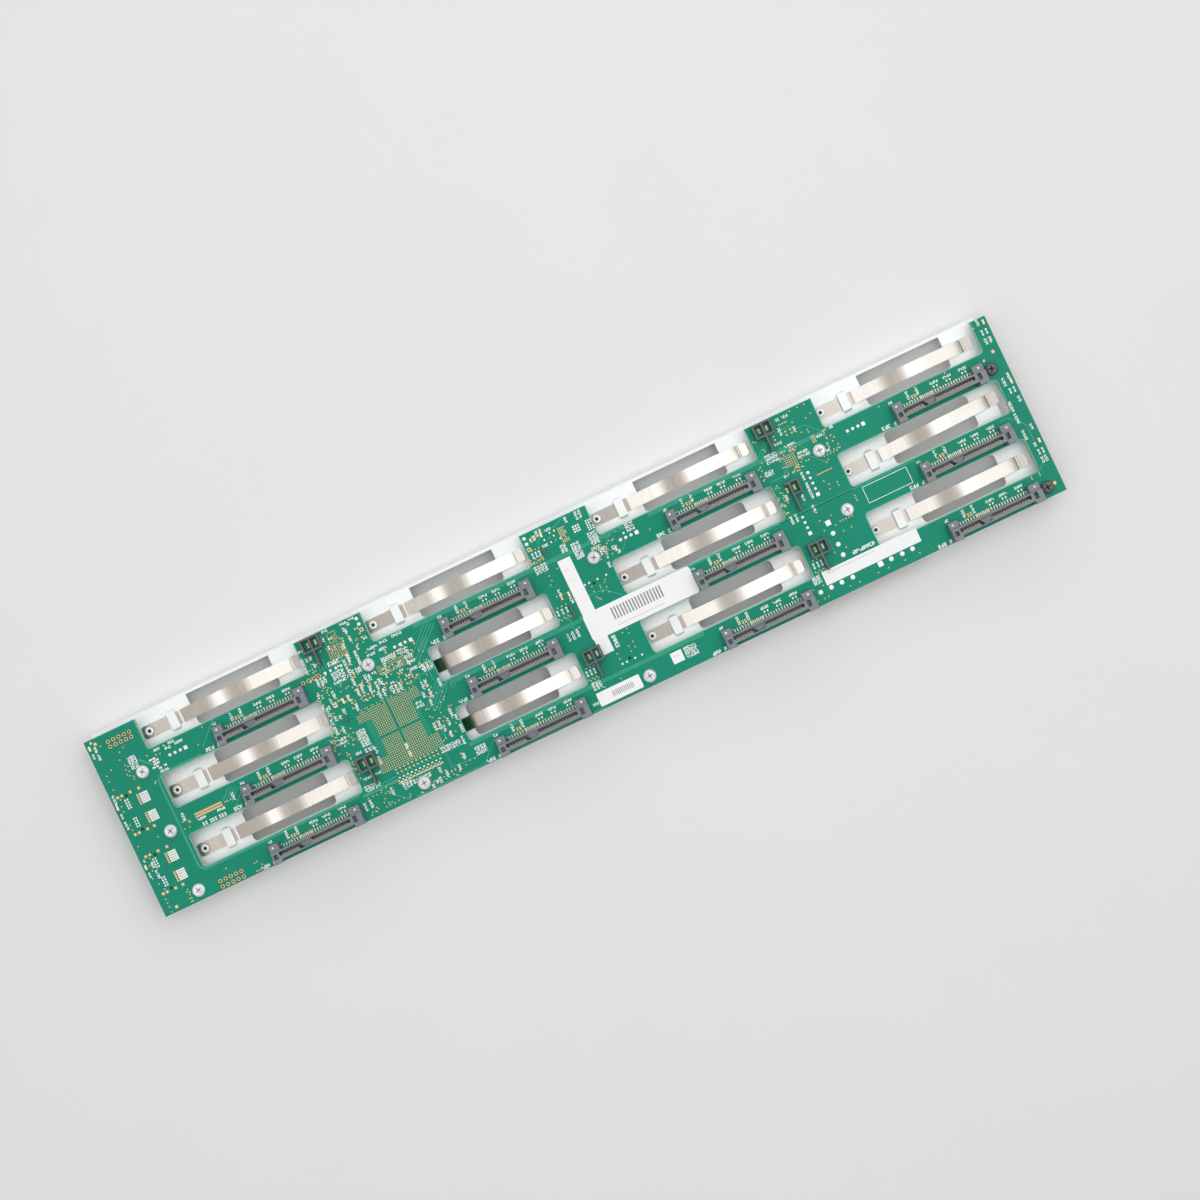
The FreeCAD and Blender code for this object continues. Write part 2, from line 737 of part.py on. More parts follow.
def make_light_shield(column, row):
    """A two-cell frame round a pair of lamps, with a fin between the light paths."""
    body = new_body(f"light_shield_c{column + 1}_r{row + 1}")
    place(body, across(column, "shield_start"), down(row, "shield_drop"), BOARD_TOP)
    walls = new_sketch(body)
    draw_outline(walls, [
        ("0", "0"), ("shield_length", "0"), ("shield_length", "-shield_depth"), (FIN_END, "-shield_depth"),
        (FIN_END, "-fin_reach"), ("fin_start", "-fin_reach"), ("fin_start", "-shield_depth"),
        ("0", "-shield_depth"),
    ])
    draw_rectangle(walls, "shield_wall", CELL_LOW, "fin_start", "-shield_wall")
    draw_rectangle(walls, FIN_END, CELL_LOW, CELL_END, "-shield_wall")
    pad(body, walls, "shield_rise")


def make_broken_shield():
    """The shield that has lost its left cell: only the right cell, a wall end and the fin."""
    column, row = BROKEN_SHIELD
    body = new_body(f"light_shield_c{column + 1}_r{row + 1}")
    place(body, across(column, "shield_start"), down(row, "shield_drop"), BOARD_TOP)
    walls = new_sketch(body)
    draw_outline(walls, [
        ("2.3", "0"), ("shield_length", "0"), ("shield_length", "-shield_depth"), (FIN_END, "-shield_depth"),
        (FIN_END, "-fin_reach"), ("fin_start", "-fin_reach"), ("fin_start", "-1.3"), ("2.3", "-shield_wall"),
    ])
    draw_rectangle(walls, FIN_END, CELL_LOW, CELL_END, "-shield_wall")
    pad(body, walls, "shield_rise")


def make_shield_stubs():
    """What is left where three shields have broken off: two fin ends and a peg."""
    body = new_body("shield_stubs")
    stubs = new_sketch(body, height=BOARD_TOP)
    broken = [
        (1, 0, [(3.95, 13.6), (4.75, 13.6), (4.85, 10.1), (3.95, 10.4)]),
        (1, 1, [(4.35, 15.0), (5.15, 15.0), (4.85, 8.4), (4.15, 8.6)]),
        (0, 1, [(3.4, 12.5), (4.5, 13.4), (5.4, 12.4), (4.4, 11.5)]),
    ]
    for column, row, corners in broken:
        draw_outline(stubs, [
            (across(column, f"shield_start + {step}"), down(row, drop)) for step, drop in corners
        ])
    pad(body, stubs, "stub_rise")


def lamp_places():
    """The centre of every lamp: pairs in the shields, single ones at the board's two ends."""
    pairs = [(column, row, step) for column in COLUMNS[:3] for row in ROWS for step in LAMP_STEPS]
    places = [(across(column, step), down(row, "lamp_drop")) for column, row, step in pairs]
    for row in ROWS:
        places.append((across(3, 81.4), down(row, "lamp_drop - 1.2")))
        places.append((from_left(1.4), down(row, "lamp_drop")))
    return places


def make_lamps():
    """The small status lamps soldered to the board."""
    body = new_body("status_lamps")
    lamps = new_sketch(body, height=BOARD_TOP)
    for x, y in lamp_places():
        draw_centred(lamps, x, y, "lamp_width", "lamp_length")
    pad(body, lamps, "lamp_rise")


# ---- labels ---------------------------------------------------------------------------

def make_label(name, left, top, right, bottom, corner):
    """A paper label laid flat on the board, its sides given from the board's left top corner."""
    body = new_body(name)
    paper = new_sketch(body, height=BOARD_TOP)
    draw_rectangle(paper, from_left(left), from_edge(bottom), from_left(right), from_edge(top))
    pad(body, paper, "label_thick")
    thick = number("label_thick")
    fillet(body, lambda edge: is_upright(edge, thick), corner)


# ---- parts behind the board -----------------------------------------------------------

LOW_POWER_Y = from_edge(78)
LOW_POWER_X = (from_left(322.8), from_left(351.4))
SIDE_POWER = (from_left(331), from_edge(59.7))
DATA_PLACES = [(from_left(113.4), from_edge(13.5)), (from_left(105), from_edge(40))]
HEADER_PLACES = [(from_left(332.4), from_edge(33.6), 12.7), (from_left(321.4), from_edge(49), 10.2)]


def rear_connectors():
    """Centre and plan size of every connector that reaches back through the plate."""
    places = [(x, LOW_POWER_Y, "power_length", "power_depth") for x in LOW_POWER_X]
    places.append((*SIDE_POWER, "power_depth", "power_length"))
    places += [(x, y, "data_depth", "data_length") for x, y in DATA_PLACES]
    places += [(x, y, "header_depth", str(length)) for x, y, length in HEADER_PLACES]
    return places


def make_power_socket(name, x, y, upright):
    """A four-way cable socket with a square cavity for each way."""
    body = new_body(name)
    place(body, x, y, BOARD_UNDER)
    block = new_sketch(body)
    sides = ("power_depth", "power_length") if upright else ("power_length", "power_depth")
    draw_centred(block, "0", "0", *sides)
    pad(body, block, "power_rise", reverse=True)
    ways = new_sketch(body, height="power_cavity_deep - power_rise")
    for way in (-1.5, -0.5, 0.5, 1.5):
        spot = ("0", f"{way}*power_pitch") if upright else (f"{way}*power_pitch", "0")
        draw_centred(ways, *spot, "power_cavity", "power_cavity")
    pocket(body, ways, "power_cavity_deep")


def make_data_socket(name, x, y):
    """A signal cable socket: a thin-walled shroud round a flat tongue."""
    body = new_body(name)
    place(body, x, y, BOARD_UNDER)
    block = new_sketch(body)
    draw_centred(block, "0", "0", "data_depth", "data_length")
    pad(body, block, "data_rise", reverse=True)
    ring = new_sketch(body, height="shroud_deep - data_rise")
    for inset in ("data_wall", "data_tongue_inset"):
        draw_centred(ring, "0", "0", f"data_depth - 2*{inset}", f"data_length - 2*{inset}")
    pocket(body, ring, "shroud_deep")


def make_signal_headers():
    """Two small cable headers, each an open-topped shroud."""
    body = new_body("signal_headers")
    blocks = new_sketch(body, height=BOARD_UNDER)
    troughs = new_sketch(body, height=f"{BOARD_UNDER} - header_rise + shroud_deep")
    for x, y, length in HEADER_PLACES:
        draw_centred(blocks, x, y, "header_depth", length)
        draw_centred(troughs, x, y, "header_depth - 2*header_wall", f"{length} - 2*header_wall")
    pad(body, blocks, "header_rise", reverse=True)
    pocket(body, troughs, "shroud_deep")


def make_switch_chip():
    """The large switch chip soldered behind the board's via field, with its metal lid."""
    body = new_body("switch_chip")
    base = new_sketch(body, height=BOARD_UNDER)
    x, y = from_left(125.7), from_edge(52.7)
    draw_centred(base, x, y, "chip_side", "chip_side")
    pad(body, base, "chip_rise/2", reverse=True)
    lid = new_sketch(body, height=f"{BOARD_UNDER} - chip_rise/2")
    draw_centred(lid, x, y, "chip_side - 2*chip_lid_inset", "chip_side - 2*chip_lid_inset")
    pad(body, lid, "chip_rise/2", reverse=True)


# ---- the whole part -------------------------------------------------------------------

def make_all():
    """Build every sub-part."""
    make_circuit_board()
    make_back_plate()
    make_rivets()
    make_standoffs()
    make_screws("board_screws", screw_places())
    make_screws("corner_screws", corner_screw_places())
    for column in COLUMNS:
        for row in ROWS:
            make_leaf_spring(column, row)
            make_drive_socket(column, row)
            make_contacts(column, row)
    for column, row in WHOLE_SHIELDS:
        make_light_shield(column, row)
    make_broken_shield()
    make_shield_stubs()
    make_lamps()
    make_label("centre_label", 217.6, 42.6, 268.4, 54.9, 1.5)
    make_label("lower_label", 208.6, 75.6, 228.9, 81.7, 0.6)
    make_power_socket("power_socket_left", LOW_POWER_X[0], LOW_POWER_Y, False)
    make_power_socket("power_socket_right", LOW_POWER_X[1], LOW_POWER_Y, False)
    make_power_socket("power_socket_side", *SIDE_POWER, True)
    for name, spot in zip(("data_socket_upper", "data_socket_lower"), DATA_PLACES):
        make_data_socket(name, *spot)
    make_signal_headers()
    make_switch_chip()


def write_parts():
    """Stop at any failed object, then write one STEP file for each sub-part."""
    doc.recompute()
    failed = [item.Name for item in doc.Objects if {"Invalid", "Error"} & set(item.State)]
    if failed:
        raise RuntimeError(f"failed objects: {failed}")
    os.makedirs("parts", exist_ok=True)
    for body in doc.findObjects("PartDesign::Body"):
        shape = body.Shape
        if shape.isNull() or not shape.isValid():
            raise RuntimeError(f"bad shape: {body.Label}")
        shape.exportStep(f"parts/{body.Label}.step")
        print(f"{body.Label}: {len(shape.Solids)} solids, {shape.Volume:.1f} mm3")


fill_sheet()
make_all()
write_parts()
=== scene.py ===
"""Looks for the drive backplane board: finishes, printed and plated detail, contacts and stage.

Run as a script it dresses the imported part. Laid out as an add-on, its panel lists one
operator for each group of like pieces.
"""

import math
import random

import bmesh
import bpy
from bpy.props import FloatProperty, FloatVectorProperty, IntProperty, PointerProperty
from mathutils import Matrix, Vector


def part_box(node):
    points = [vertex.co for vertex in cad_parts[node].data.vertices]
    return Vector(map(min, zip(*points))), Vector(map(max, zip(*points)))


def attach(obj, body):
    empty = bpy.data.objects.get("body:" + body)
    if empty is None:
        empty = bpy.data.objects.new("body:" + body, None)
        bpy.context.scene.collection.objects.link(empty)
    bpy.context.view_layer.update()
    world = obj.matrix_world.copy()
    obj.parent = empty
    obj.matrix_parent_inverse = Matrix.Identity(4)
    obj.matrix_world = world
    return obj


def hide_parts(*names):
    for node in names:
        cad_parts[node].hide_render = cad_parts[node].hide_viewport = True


bl_info = {
    "name": "Drive Backplane Looks",
    "version": (1, 0, 0),
    "blender": (4, 5, 0),
    "location": "View3D > Sidebar > Backplane",
    "description": "Finishes and fine detail for a drive backplane board",
    "category": "Object",
}

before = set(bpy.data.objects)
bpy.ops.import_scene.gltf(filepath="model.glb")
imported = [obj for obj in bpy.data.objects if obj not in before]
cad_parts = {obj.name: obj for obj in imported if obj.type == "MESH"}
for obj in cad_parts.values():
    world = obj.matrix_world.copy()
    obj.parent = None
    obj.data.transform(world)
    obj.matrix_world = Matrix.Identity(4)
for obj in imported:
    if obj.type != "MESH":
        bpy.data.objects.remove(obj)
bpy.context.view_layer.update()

MM = 0.001
COLUMNS = range(1, 5)
ROWS = range(1, 4)
BOARD_LOW, BOARD_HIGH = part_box("circuit_board")

# in mm, from the left top corner of a drive place
SOCKET_CORNER = (29.4, 19.1)
SHORT_WINDOWS = ((2, 2), (2, 3))
SHORT_START = 19.5

# in mm from a drive place's corner: the amber part of the left status lamp, and its lift
LAMP_SPOT = (81.5, 4.7, 0.71)
# in mm from a socket's upper corner: a blade's middle along, across and into the slot
BLADE_BACK, BLADE_BELOW, BLADE_DEEP = 0.6, 5.42, 2.6

# colour and strength of the surroundings: for matt faces, for metal, and for the camera
SURROUNDINGS = (
    ((0.97, 0.98, 1.0, 1.0), 0.30),
    ((0.66, 0.60, 0.545, 1.0), 0.72),
    ((0.90, 0.90, 0.90, 1.0), 1.0),
)

# half the floor's side, and how far the camera sees, in metres
FLOOR_REACH = 6.0
FAR_CLIP = 50.0
# the sensor's width in mm
SENSOR_WIDTH = 36.0

# the camera's place over the board's face in metres, and its turn in degrees
CAMERA_PLACE = (0.0127, 0.0005, 1.078)
CAMERA_TURN = -25.4

# name, place, size and share of the panel power: soft light for matt faces
SOFT_LIGHTS = (
    ("top_light", (0.05, 0.10, 1.70), (1.0, 1.0), 1.08),
    ("side_light", (0.60, 0.12, 1.30), (1.2, 0.84), 0.36),
    ("strip_light", (-0.65, 0.05, 1.30), (1.2, 0.60), 0.16),
    ("back_light", (0.15, 1.10, 1.10), (1.6, 0.8), 0.32),
)
# the same for the dimmer panels that only metal and gloss show
SHOWN_PANELS = (
    ("side_panel", (0.65, 0.10, 1.24), (1.2, 0.64), 0.24),
    ("far_panel", (1.07, 0.10, 0.90), (1.2, 0.49), 0.10),
    ("strip_panel", (-0.77, 0.05, 1.26), (1.2, 0.45), 0.17),
)


def spot(x, y, lift=0.0):
    """A point x mm from the board's left end and y mm below its flange edge, lifted off its face."""
    return Vector((BOARD_LOW.x + x*MM, BOARD_HIGH.y - y*MM, BOARD_HIGH.z + lift*MM))


def from_window(column, row, across, below, lift=0.0):
    """A point measured from the left top corner of one drive place, found by its socket's corner."""
    low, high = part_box(f"drive_socket_c{column}_r{row}")
    x = (low.x - BOARD_LOW.x)/MM - SOCKET_CORNER[0]
    y = (BOARD_HIGH.y - high.y)/MM - SOCKET_CORNER[1]
    return spot(x + across, y + below, lift)


def drive_places():
    """Column and row of all twelve drive places."""
    return [(column, row) for column in COLUMNS for row in ROWS]


# ---- settings -------------------------------------------------------------------------

def colour(name, description, default):
    """A colour setting, three linear channels."""
    return FloatVectorProperty(name=name, description=description, default=default, subtype="COLOR",
                               min=0.0, max=1.0)


def length(name, description, default):
    """A length setting, in metres."""
    return FloatProperty(name=name, description=description, default=default, unit="LENGTH",
                         precision=5, min=0.0)


class BoardSettings(bpy.types.PropertyGroup):
    """Colours and sizes of the printed circuit board."""
    mask: colour("Solder mask", "Green coat over the copper", (0.0012, 0.240, 0.146))
    mask_over_copper: colour("Mask on traces", "Paler green where a trace lies under the mask",
                             (0.080, 0.46, 0.33))
    laminate: colour("Laminate", "Bare glass laminate at the routed edges", (0.50, 0.40, 0.22))
    ink: colour("Ink", "White printing on the mask", (0.96, 0.97, 0.96))
    plating: colour("Plating", "Gold-tinted pads and vias", (0.90, 0.56, 0.28))
    solder: colour("Solder", "Tinned joints", (0.92, 0.93, 0.92))
    fine_via: length("Fine via", "Outside diameter of the close-set vias under the chip", 0.00052)
    via_width: length("Via width", "Outside diameter of a via's pad", 0.00060)
    trace_width: length("Trace width", "Width of a trace under the mask", 0.00026)


class MetalSettings(bpy.types.PropertyGroup):
    """Colours of the sheet metal, springs and fasteners."""
    zinc: colour("Zinc plate", "Plated sheet of the back plate", (0.90, 0.94, 0.94))
    spring: colour("Spring strip", "Polished strip of the leaf springs", (0.85, 0.84, 0.81))
    bright_screw: colour("Bright screw", "Zinc-plated screws and rivets", (0.86, 0.89, 0.91))
    dark_screw: colour("Dark screw", "Blackened screws", (0.13, 0.14, 0.145))


class SocketSettings(bpy.types.PropertyGroup):
    """Colours and contact sizes of the sockets and light shields."""
    moulding: colour("Socket moulding", "Slate plastic of the drive sockets", (0.185, 0.210, 0.230))
    shield: colour("Light shield", "Dark plastic round the lamps", (0.105, 0.115, 0.125))
    contact: colour("Contact", "Gold flash on the contacts", (0.86, 0.62, 0.26))
    lens: colour("Lamp resin", "Pale gold resin of the status lamps", (0.92, 0.80, 0.50))
    contact_pitch: length("Contact pitch", "Spacing of the wide contacts", 0.00127)
    blade_width: length("Blade width", "Width of one contact blade", 0.00055)


class StageSettings(bpy.types.PropertyGroup):
    """Floor, lamps and lens."""
    floor: colour("Floor", "Plain pale floor", (0.80, 0.80, 0.79))
    lens: FloatProperty(name="Lens", description="Focal length on a 36 mm sensor, in mm",
                        default=75.0, min=1.0)
    panel_power: FloatProperty(name="Panel power", description="Watts that every lamp takes its share of",
                               default=11.1, min=0.0)
    seed: IntProperty(name="Seed", description="Fixed seed of everything random", default=7, min=0)


# ---- shader helpers -------------------------------------------------------------------

def node(tree, kind, inputs=(), **settings):
    """A new node with its settings; each input is a plain value or a socket to link from."""
    made = tree.nodes.new(kind)
    for name, value in settings.items():
        setattr(made, name, value)
    for name, value in dict(inputs).items():
        if isinstance(value, bpy.types.NodeSocket):
            link(tree, value, made.inputs[name])
        else:
            made.inputs[name].default_value = value
    return made


def link(tree, output, target):
    """Join one socket to another."""
    tree.links.new(output, target)


def group_sockets(tree, inputs, outputs):
    """Make a group's named sockets and return its input and output nodes."""
    for name, kind, default in inputs:
        made = tree.interface.new_socket(name, in_out="INPUT", socket_type=kind)
        if default is not None:
            made.default_value = default
    for name, kind in outputs:
        tree.interface.new_socket(name, in_out="OUTPUT", socket_type=kind)
    return tree.nodes.new("NodeGroupInput"), tree.nodes.new("NodeGroupOutput")


def scaled(tree, value, factor):
    """A value times a factor, either of them a socket or a number."""
    return node(tree, "ShaderNodeMath", {0: value, 1: factor}, operation="MULTIPLY").outputs[0]


def grain_group():
    """Colour, roughness and height that drift over a surface, from one stretched noise."""
    found = bpy.data.node_groups.get("Surface grain")
    if found:
        return found
    tree = bpy.data.node_groups.new("Surface grain", "ShaderNodeTree")
    source, sink = group_sockets(tree, [
        ("Colour", "NodeSocketColor", (0.5, 0.5, 0.5, 1.0)),
        ("Tone shift", "NodeSocketFloat", 0.1),
        ("Grain scale", "NodeSocketFloat", 600.0),
        ("Stretch", "NodeSocketVector", (1.0, 1.0, 1.0)),
        ("Roughness", "NodeSocketFloat", 0.5),
        ("Roughness spread", "NodeSocketFloat", 0.1),
    ], [("Colour", "NodeSocketColor"), ("Roughness", "NodeSocketFloat"), ("Height", "NodeSocketFloat")])
    place = node(tree, "ShaderNodeTexCoord").outputs["Object"]
    stretch = node(tree, "ShaderNodeMapping", {"Vector": place, "Scale": source.outputs["Stretch"]})
    fine = node(tree, "ShaderNodeTexNoise", {
        "Vector": stretch.outputs[0], "Scale": source.outputs["Grain scale"],
        "Detail": 4.0, "Roughness": 0.62})
    broad = node(tree, "ShaderNodeTexNoise", {"Vector": place, "Scale": 22.0, "Detail": 3.0})
    parts = {0: scaled(tree, fine.outputs[0], 0.55), 1: scaled(tree, broad.outputs[0], 0.45)}
    both = node(tree, "ShaderNodeMath", parts, operation="ADD")
    signed = node(tree, "ShaderNodeMapRange", {
        "Value": both.outputs[0], "From Min": 0.3, "From Max": 0.7, "To Min": -1.0, "To Max": 1.0})
    shift = scaled(tree, signed.outputs[0], source.outputs["Tone shift"])
    lift = node(tree, "ShaderNodeMath", {0: shift, 1: 1.0}, operation="ADD")
    tint = node(tree, "ShaderNodeVectorMath", {0: source.outputs["Colour"], "Scale": lift.outputs[0]},
                operation="SCALE")
    spread = scaled(tree, signed.outputs[0], source.outputs["Roughness spread"])
    rough = node(tree, "ShaderNodeMath", {0: source.outputs["Roughness"], 1: spread},
                 operation="ADD", use_clamp=True)
    link(tree, tint.outputs[0], sink.inputs["Colour"])
    link(tree, rough.outputs[0], sink.inputs["Roughness"])
    link(tree, fine.outputs[0], sink.inputs["Height"])
    return tree


def finish(name, base, tone=0.08, grain=600.0, stretch=(1, 1, 1), rough=0.5, spread=0.06,
           metallic=0.0, bump=0.05, **shader_values):
    """A material with drifting colour, roughness and fine relief; returns it, its shader and its grain."""
    material = bpy.data.materials.new(name)
    material.use_nodes = True
    tree = material.node_tree
    shader = tree.nodes["Principled BSDF"]
    shader.inputs["Metallic"].default_value = metallic
    for socket, value in shader_values.items():
        shader.inputs[socket.replace("_", " ")].default_value = value
    grains = node(tree, "ShaderNodeGroup", {
        "Colour": (*base, 1.0), "Tone shift": tone, "Grain scale": grain, "Stretch": stretch,
        "Roughness": rough, "Roughness spread": spread}, node_tree=grain_group())
    relief = node(tree, "ShaderNodeBump", {
        "Strength": bump, "Distance": 0.0002, "Height": grains.outputs["Height"]})
    link(tree, grains.outputs["Colour"], shader.inputs["Base Color"])
    link(tree, grains.outputs["Roughness"], shader.inputs["Roughness"])
    link(tree, relief.outputs[0], shader.inputs["Normal"])
    return material, shader, grains


def edge_tint(material, shader, grains, tint, steep=0.5):
    """Give steep sides another colour than level faces; steep is the upright part of the normal. On the board
    that colour is its bare laminate; on the rivets it is painted shade on the sloped rims.
    """
    tree = material.node_tree
    facing = node(tree, "ShaderNodeNewGeometry")
    split = node(tree, "ShaderNodeSeparateXYZ", {0: facing.outputs["True Normal"]})
    size = node(tree, "ShaderNodeMath", {0: split.outputs["Z"]}, operation="ABSOLUTE")
    side = node(tree, "ShaderNodeMath", {0: size.outputs[0], 1: steep}, operation="LESS_THAN")
    blend = node(tree, "ShaderNodeMix", {
        "Factor": side.outputs[0], 6: grains.outputs["Colour"], 7: (*tint, 1.0)}, data_type="RGBA")
    link(tree, blend.outputs[2], shader.inputs["Base Color"])


def wear(names, material):
    """Put a material on CAD nodes."""
    for name in names:
        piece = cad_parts[name]
        piece.data.materials.clear()
        piece.data.materials.append(material)


# ---- mesh and repeat helpers ----------------------------------------------------------

def settle(piece, slot_name, *replaced):
    """Let a finished piece ride on the part and stand for CAD nodes; the slot name is not used."""
    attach(piece, "root")
    if replaced:
        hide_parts(*replaced)
    return piece


def show(mesh, name):
    """Link a mesh as an object at the origin."""
    piece = bpy.data.objects.new(name, mesh)
    bpy.context.scene.collection.objects.link(piece)
    return piece


def points_mesh(name, places, turns=None, stretches=None):
    """Loose points that carry a turn about Z and a stretch each."""
    mesh = bpy.data.meshes.new(name)
    mesh.from_pydata([tuple(place) for place in places], [], [])
    turn = mesh.attributes.new("turn", "FLOAT_VECTOR", "POINT")
    stretch = mesh.attributes.new("stretch", "FLOAT_VECTOR", "POINT")
    for index in range(len(places)):
        turn.data[index].vector = (0.0, 0.0, turns[index] if turns else 0.0)
        stretch.data[index].vector = stretches[index] if stretches else (1.0, 1.0, 1.0)
    return mesh


def ribbon(tree, curve, source, caps):
    """A flat strip along a curve, as wide and high as the tree's named inputs say."""
    section = node(tree, "GeometryNodeCurvePrimitiveQuadrilateral", {
        "Width": source.outputs["Width"], "Height": source.outputs["Height"]})
    return node(tree, "GeometryNodeCurveToMesh", {
        "Curve": curve, "Profile Curve": section.outputs[0], "Fill Caps": caps}).outputs[0]


def shape_node(tree, shape, source):
    """The outline that a repeat tree places, sized by the tree's named inputs."""
    if shape == "block":
        size = node(tree, "ShaderNodeCombineXYZ", {
            axis: source.outputs[name] for axis, name in zip("XYZ", ("Length", "Width", "Height"))})
        return node(tree, "GeometryNodeMeshCube", {"Size": size.outputs[0]}).outputs["Mesh"]
    radius = scaled(tree, source.outputs["Length"], 0.5)
    if shape == "dome":
        return node(tree, "GeometryNodeMeshUVSphere", {
            "Rings": 6, "Segments": source.outputs["Sides"], "Radius": radius}).outputs["Mesh"]
    if shape == "disc":
        return node(tree, "GeometryNodeMeshCylinder", {
            "Vertices": source.outputs["Sides"], "Radius": radius,
            "Depth": source.outputs["Height"]}).outputs["Mesh"]
    wall = scaled(tree, source.outputs["Width"], 0.5)
    middle = node(tree, "ShaderNodeMath", {0: radius, 1: wall}, operation="SUBTRACT")
    path = node(tree, "GeometryNodeCurvePrimitiveCircle", {
        "Resolution": source.outputs["Sides"], "Radius": middle.outputs[0]})
    return ribbon(tree, path.outputs[0], source, False)


REPEAT_INPUTS = [
    ("Points", "NodeSocketGeometry", None),
    ("Length", "NodeSocketFloat", 0.001),
    ("Width", "NodeSocketFloat", 0.001),
    ("Height", "NodeSocketFloat", 0.0001),
    ("Sides", "NodeSocketInt", 10),
    ("Count", "NodeSocketInt", 1),
    ("Pitch", "NodeSocketFloat", 0.001),
]


def geometry_tree(title, inputs, fill):
    """The geometry tree of this title, made once; fill wires it and returns its last geometry."""
    found = bpy.data.node_groups.get(title)
    if found:
        return found
    tree = bpy.data.node_groups.new(title, "GeometryNodeTree")
    source, sink = group_sockets(tree, inputs + [("Finish", "NodeSocketMaterial", None)],
                                 [("Mesh", "NodeSocketGeometry")])
    whole = node(tree, "GeometryNodeRealizeInstances", {0: fill(tree, source)})
    coat = node(tree, "GeometryNodeSetMaterial", {
        "Geometry": whole.outputs[0], "Material": source.outputs["Finish"]})
    link(tree, coat.outputs[0], sink.inputs[0])
    return tree


def set_on_points(tree, points, piece):
    """A piece on every point, turned and stretched by the point's own values."""
    turn = node(tree, "GeometryNodeInputNamedAttribute", {"Name": "turn"}, data_type="FLOAT_VECTOR")
    stretch = node(tree, "GeometryNodeInputNamedAttribute", {"Name": "stretch"},
                   data_type="FLOAT_VECTOR")
    as_turn = node(tree, "FunctionNodeEulerToRotation", {0: turn.outputs[0]})
    return node(tree, "GeometryNodeInstanceOnPoints", {
        "Points": points, "Instance": piece, "Rotation": as_turn.outputs[0],
        "Scale": stretch.outputs[0]}).outputs[0]


def repeat_tree(shape):
    """A tree that sets a row of one shape on every point."""
    def fill(tree, source):
        step = node(tree, "ShaderNodeCombineXYZ", {"X": source.outputs["Pitch"]})
        row = node(tree, "GeometryNodeMeshLine", {
            "Count": source.outputs["Count"], "Offset": step.outputs[0]})
        in_row = node(tree, "GeometryNodeInstanceOnPoints", {
            "Points": row.outputs[0], "Instance": shape_node(tree, shape, source)})
        one_row = node(tree, "GeometryNodeRealizeInstances", {0: in_row.outputs[0]})
        return set_on_points(tree, source.outputs["Points"], one_row.outputs[0])
    return geometry_tree(f"Repeat {shape}", REPEAT_INPUTS, fill)


def place_tree():
    """A tree that sets a modelled piece on every point."""
    def fill(tree, source):
        piece = node(tree, "GeometryNodeObjectInfo", {"Object": source.outputs["Piece"]})
        return set_on_points(tree, source.outputs["Points"], piece.outputs["Geometry"])
    return geometry_tree("Place piece", [
        ("Points", "NodeSocketGeometry", None),
        ("Piece", "NodeSocketObject", None),
    ], fill)


def trace_tree():
    """A tree that gives every path a flat ribbon's section."""
    def fill(tree, source):
        paths = node(tree, "GeometryNodeMeshToCurve", {0: source.outputs["Paths"]})
        return ribbon(tree, paths.outputs[0], source, True)
    return geometry_tree("Lay traces", [
        ("Paths", "NodeSocketGeometry", None),
        ("Width", "NodeSocketFloat", 0.0002),
        ("Height", "NodeSocketFloat", 0.00002),
    ], fill)


def grow(name, mesh, tree, values):
    """Run a geometry tree on a mesh and keep the result as a plain mesh object."""
    seed_piece = show(mesh, f"{name}_seed")
    modifier = seed_piece.modifiers.new("Repeat", "NODES")
    modifier.node_group = tree
    for item in tree.interface.items_tree:
        if item.item_type == "SOCKET" and item.in_out == "INPUT" and item.name in values:
            modifier[item.identifier] = values[item.name]
    bpy.context.view_layer.update()
    graph = bpy.context.evaluated_depsgraph_get()
    result = bpy.data.meshes.new_from_object(seed_piece.evaluated_get(graph), depsgraph=graph)
    seed_piece.modifiers.clear()
    bpy.data.objects.remove(seed_piece)
    result.name = name
    return show(result, name)


def repeat(name, shape, places, material, turns=None, stretches=None, **sizes):
    """Rows of a simple shape on every place, as one plain mesh."""
    values = {key.capitalize(): value for key, value in sizes.items()}
    values["Finish"] = material
    return grow(name, points_mesh(name, places, turns, stretches), repeat_tree(shape), values)


def place_copies(name, template, places, material, turns=None):
    """Copies of a modelled piece on every place, as one plain mesh; the template is used up."""
    made = grow(name, points_mesh(name, places, turns), place_tree(), {"Piece": template, "Finish": material})
    bpy.data.objects.remove(template)
    return made


def turned(name, profile, sides=28):
    """A closed solid turned about Z from a profile of radius and height in mm, axis to axis."""
    shape = bmesh.new()
    rings = []
    for radius, height in profile:
        if radius == 0:
            rings.append([shape.verts.new((0, 0, height*MM))])
            continue
        rings.append([
            shape.verts.new((radius*MM*math.cos(2*math.pi*i/sides), radius*MM*math.sin(2*math.pi*i/sides),
                             height*MM)) for i in range(sides)
        ])
    for inner, outer in zip(rings, rings[1:]):
        for i in range(sides):
            j = (i + 1) % sides
            corners = [ring[k % len(ring)] for ring, k in ((inner, i), (outer, i), (outer, j), (inner, j))]
            unique = list(dict.fromkeys(corners))
            if len(unique) > 2:
                shape.faces.new(unique)
    bmesh.ops.recalc_face_normals(shape, faces=shape.faces)
    mesh = bpy.data.meshes.new(name)
    shape.to_mesh(mesh)
    shape.free()
    return show(mesh, name)


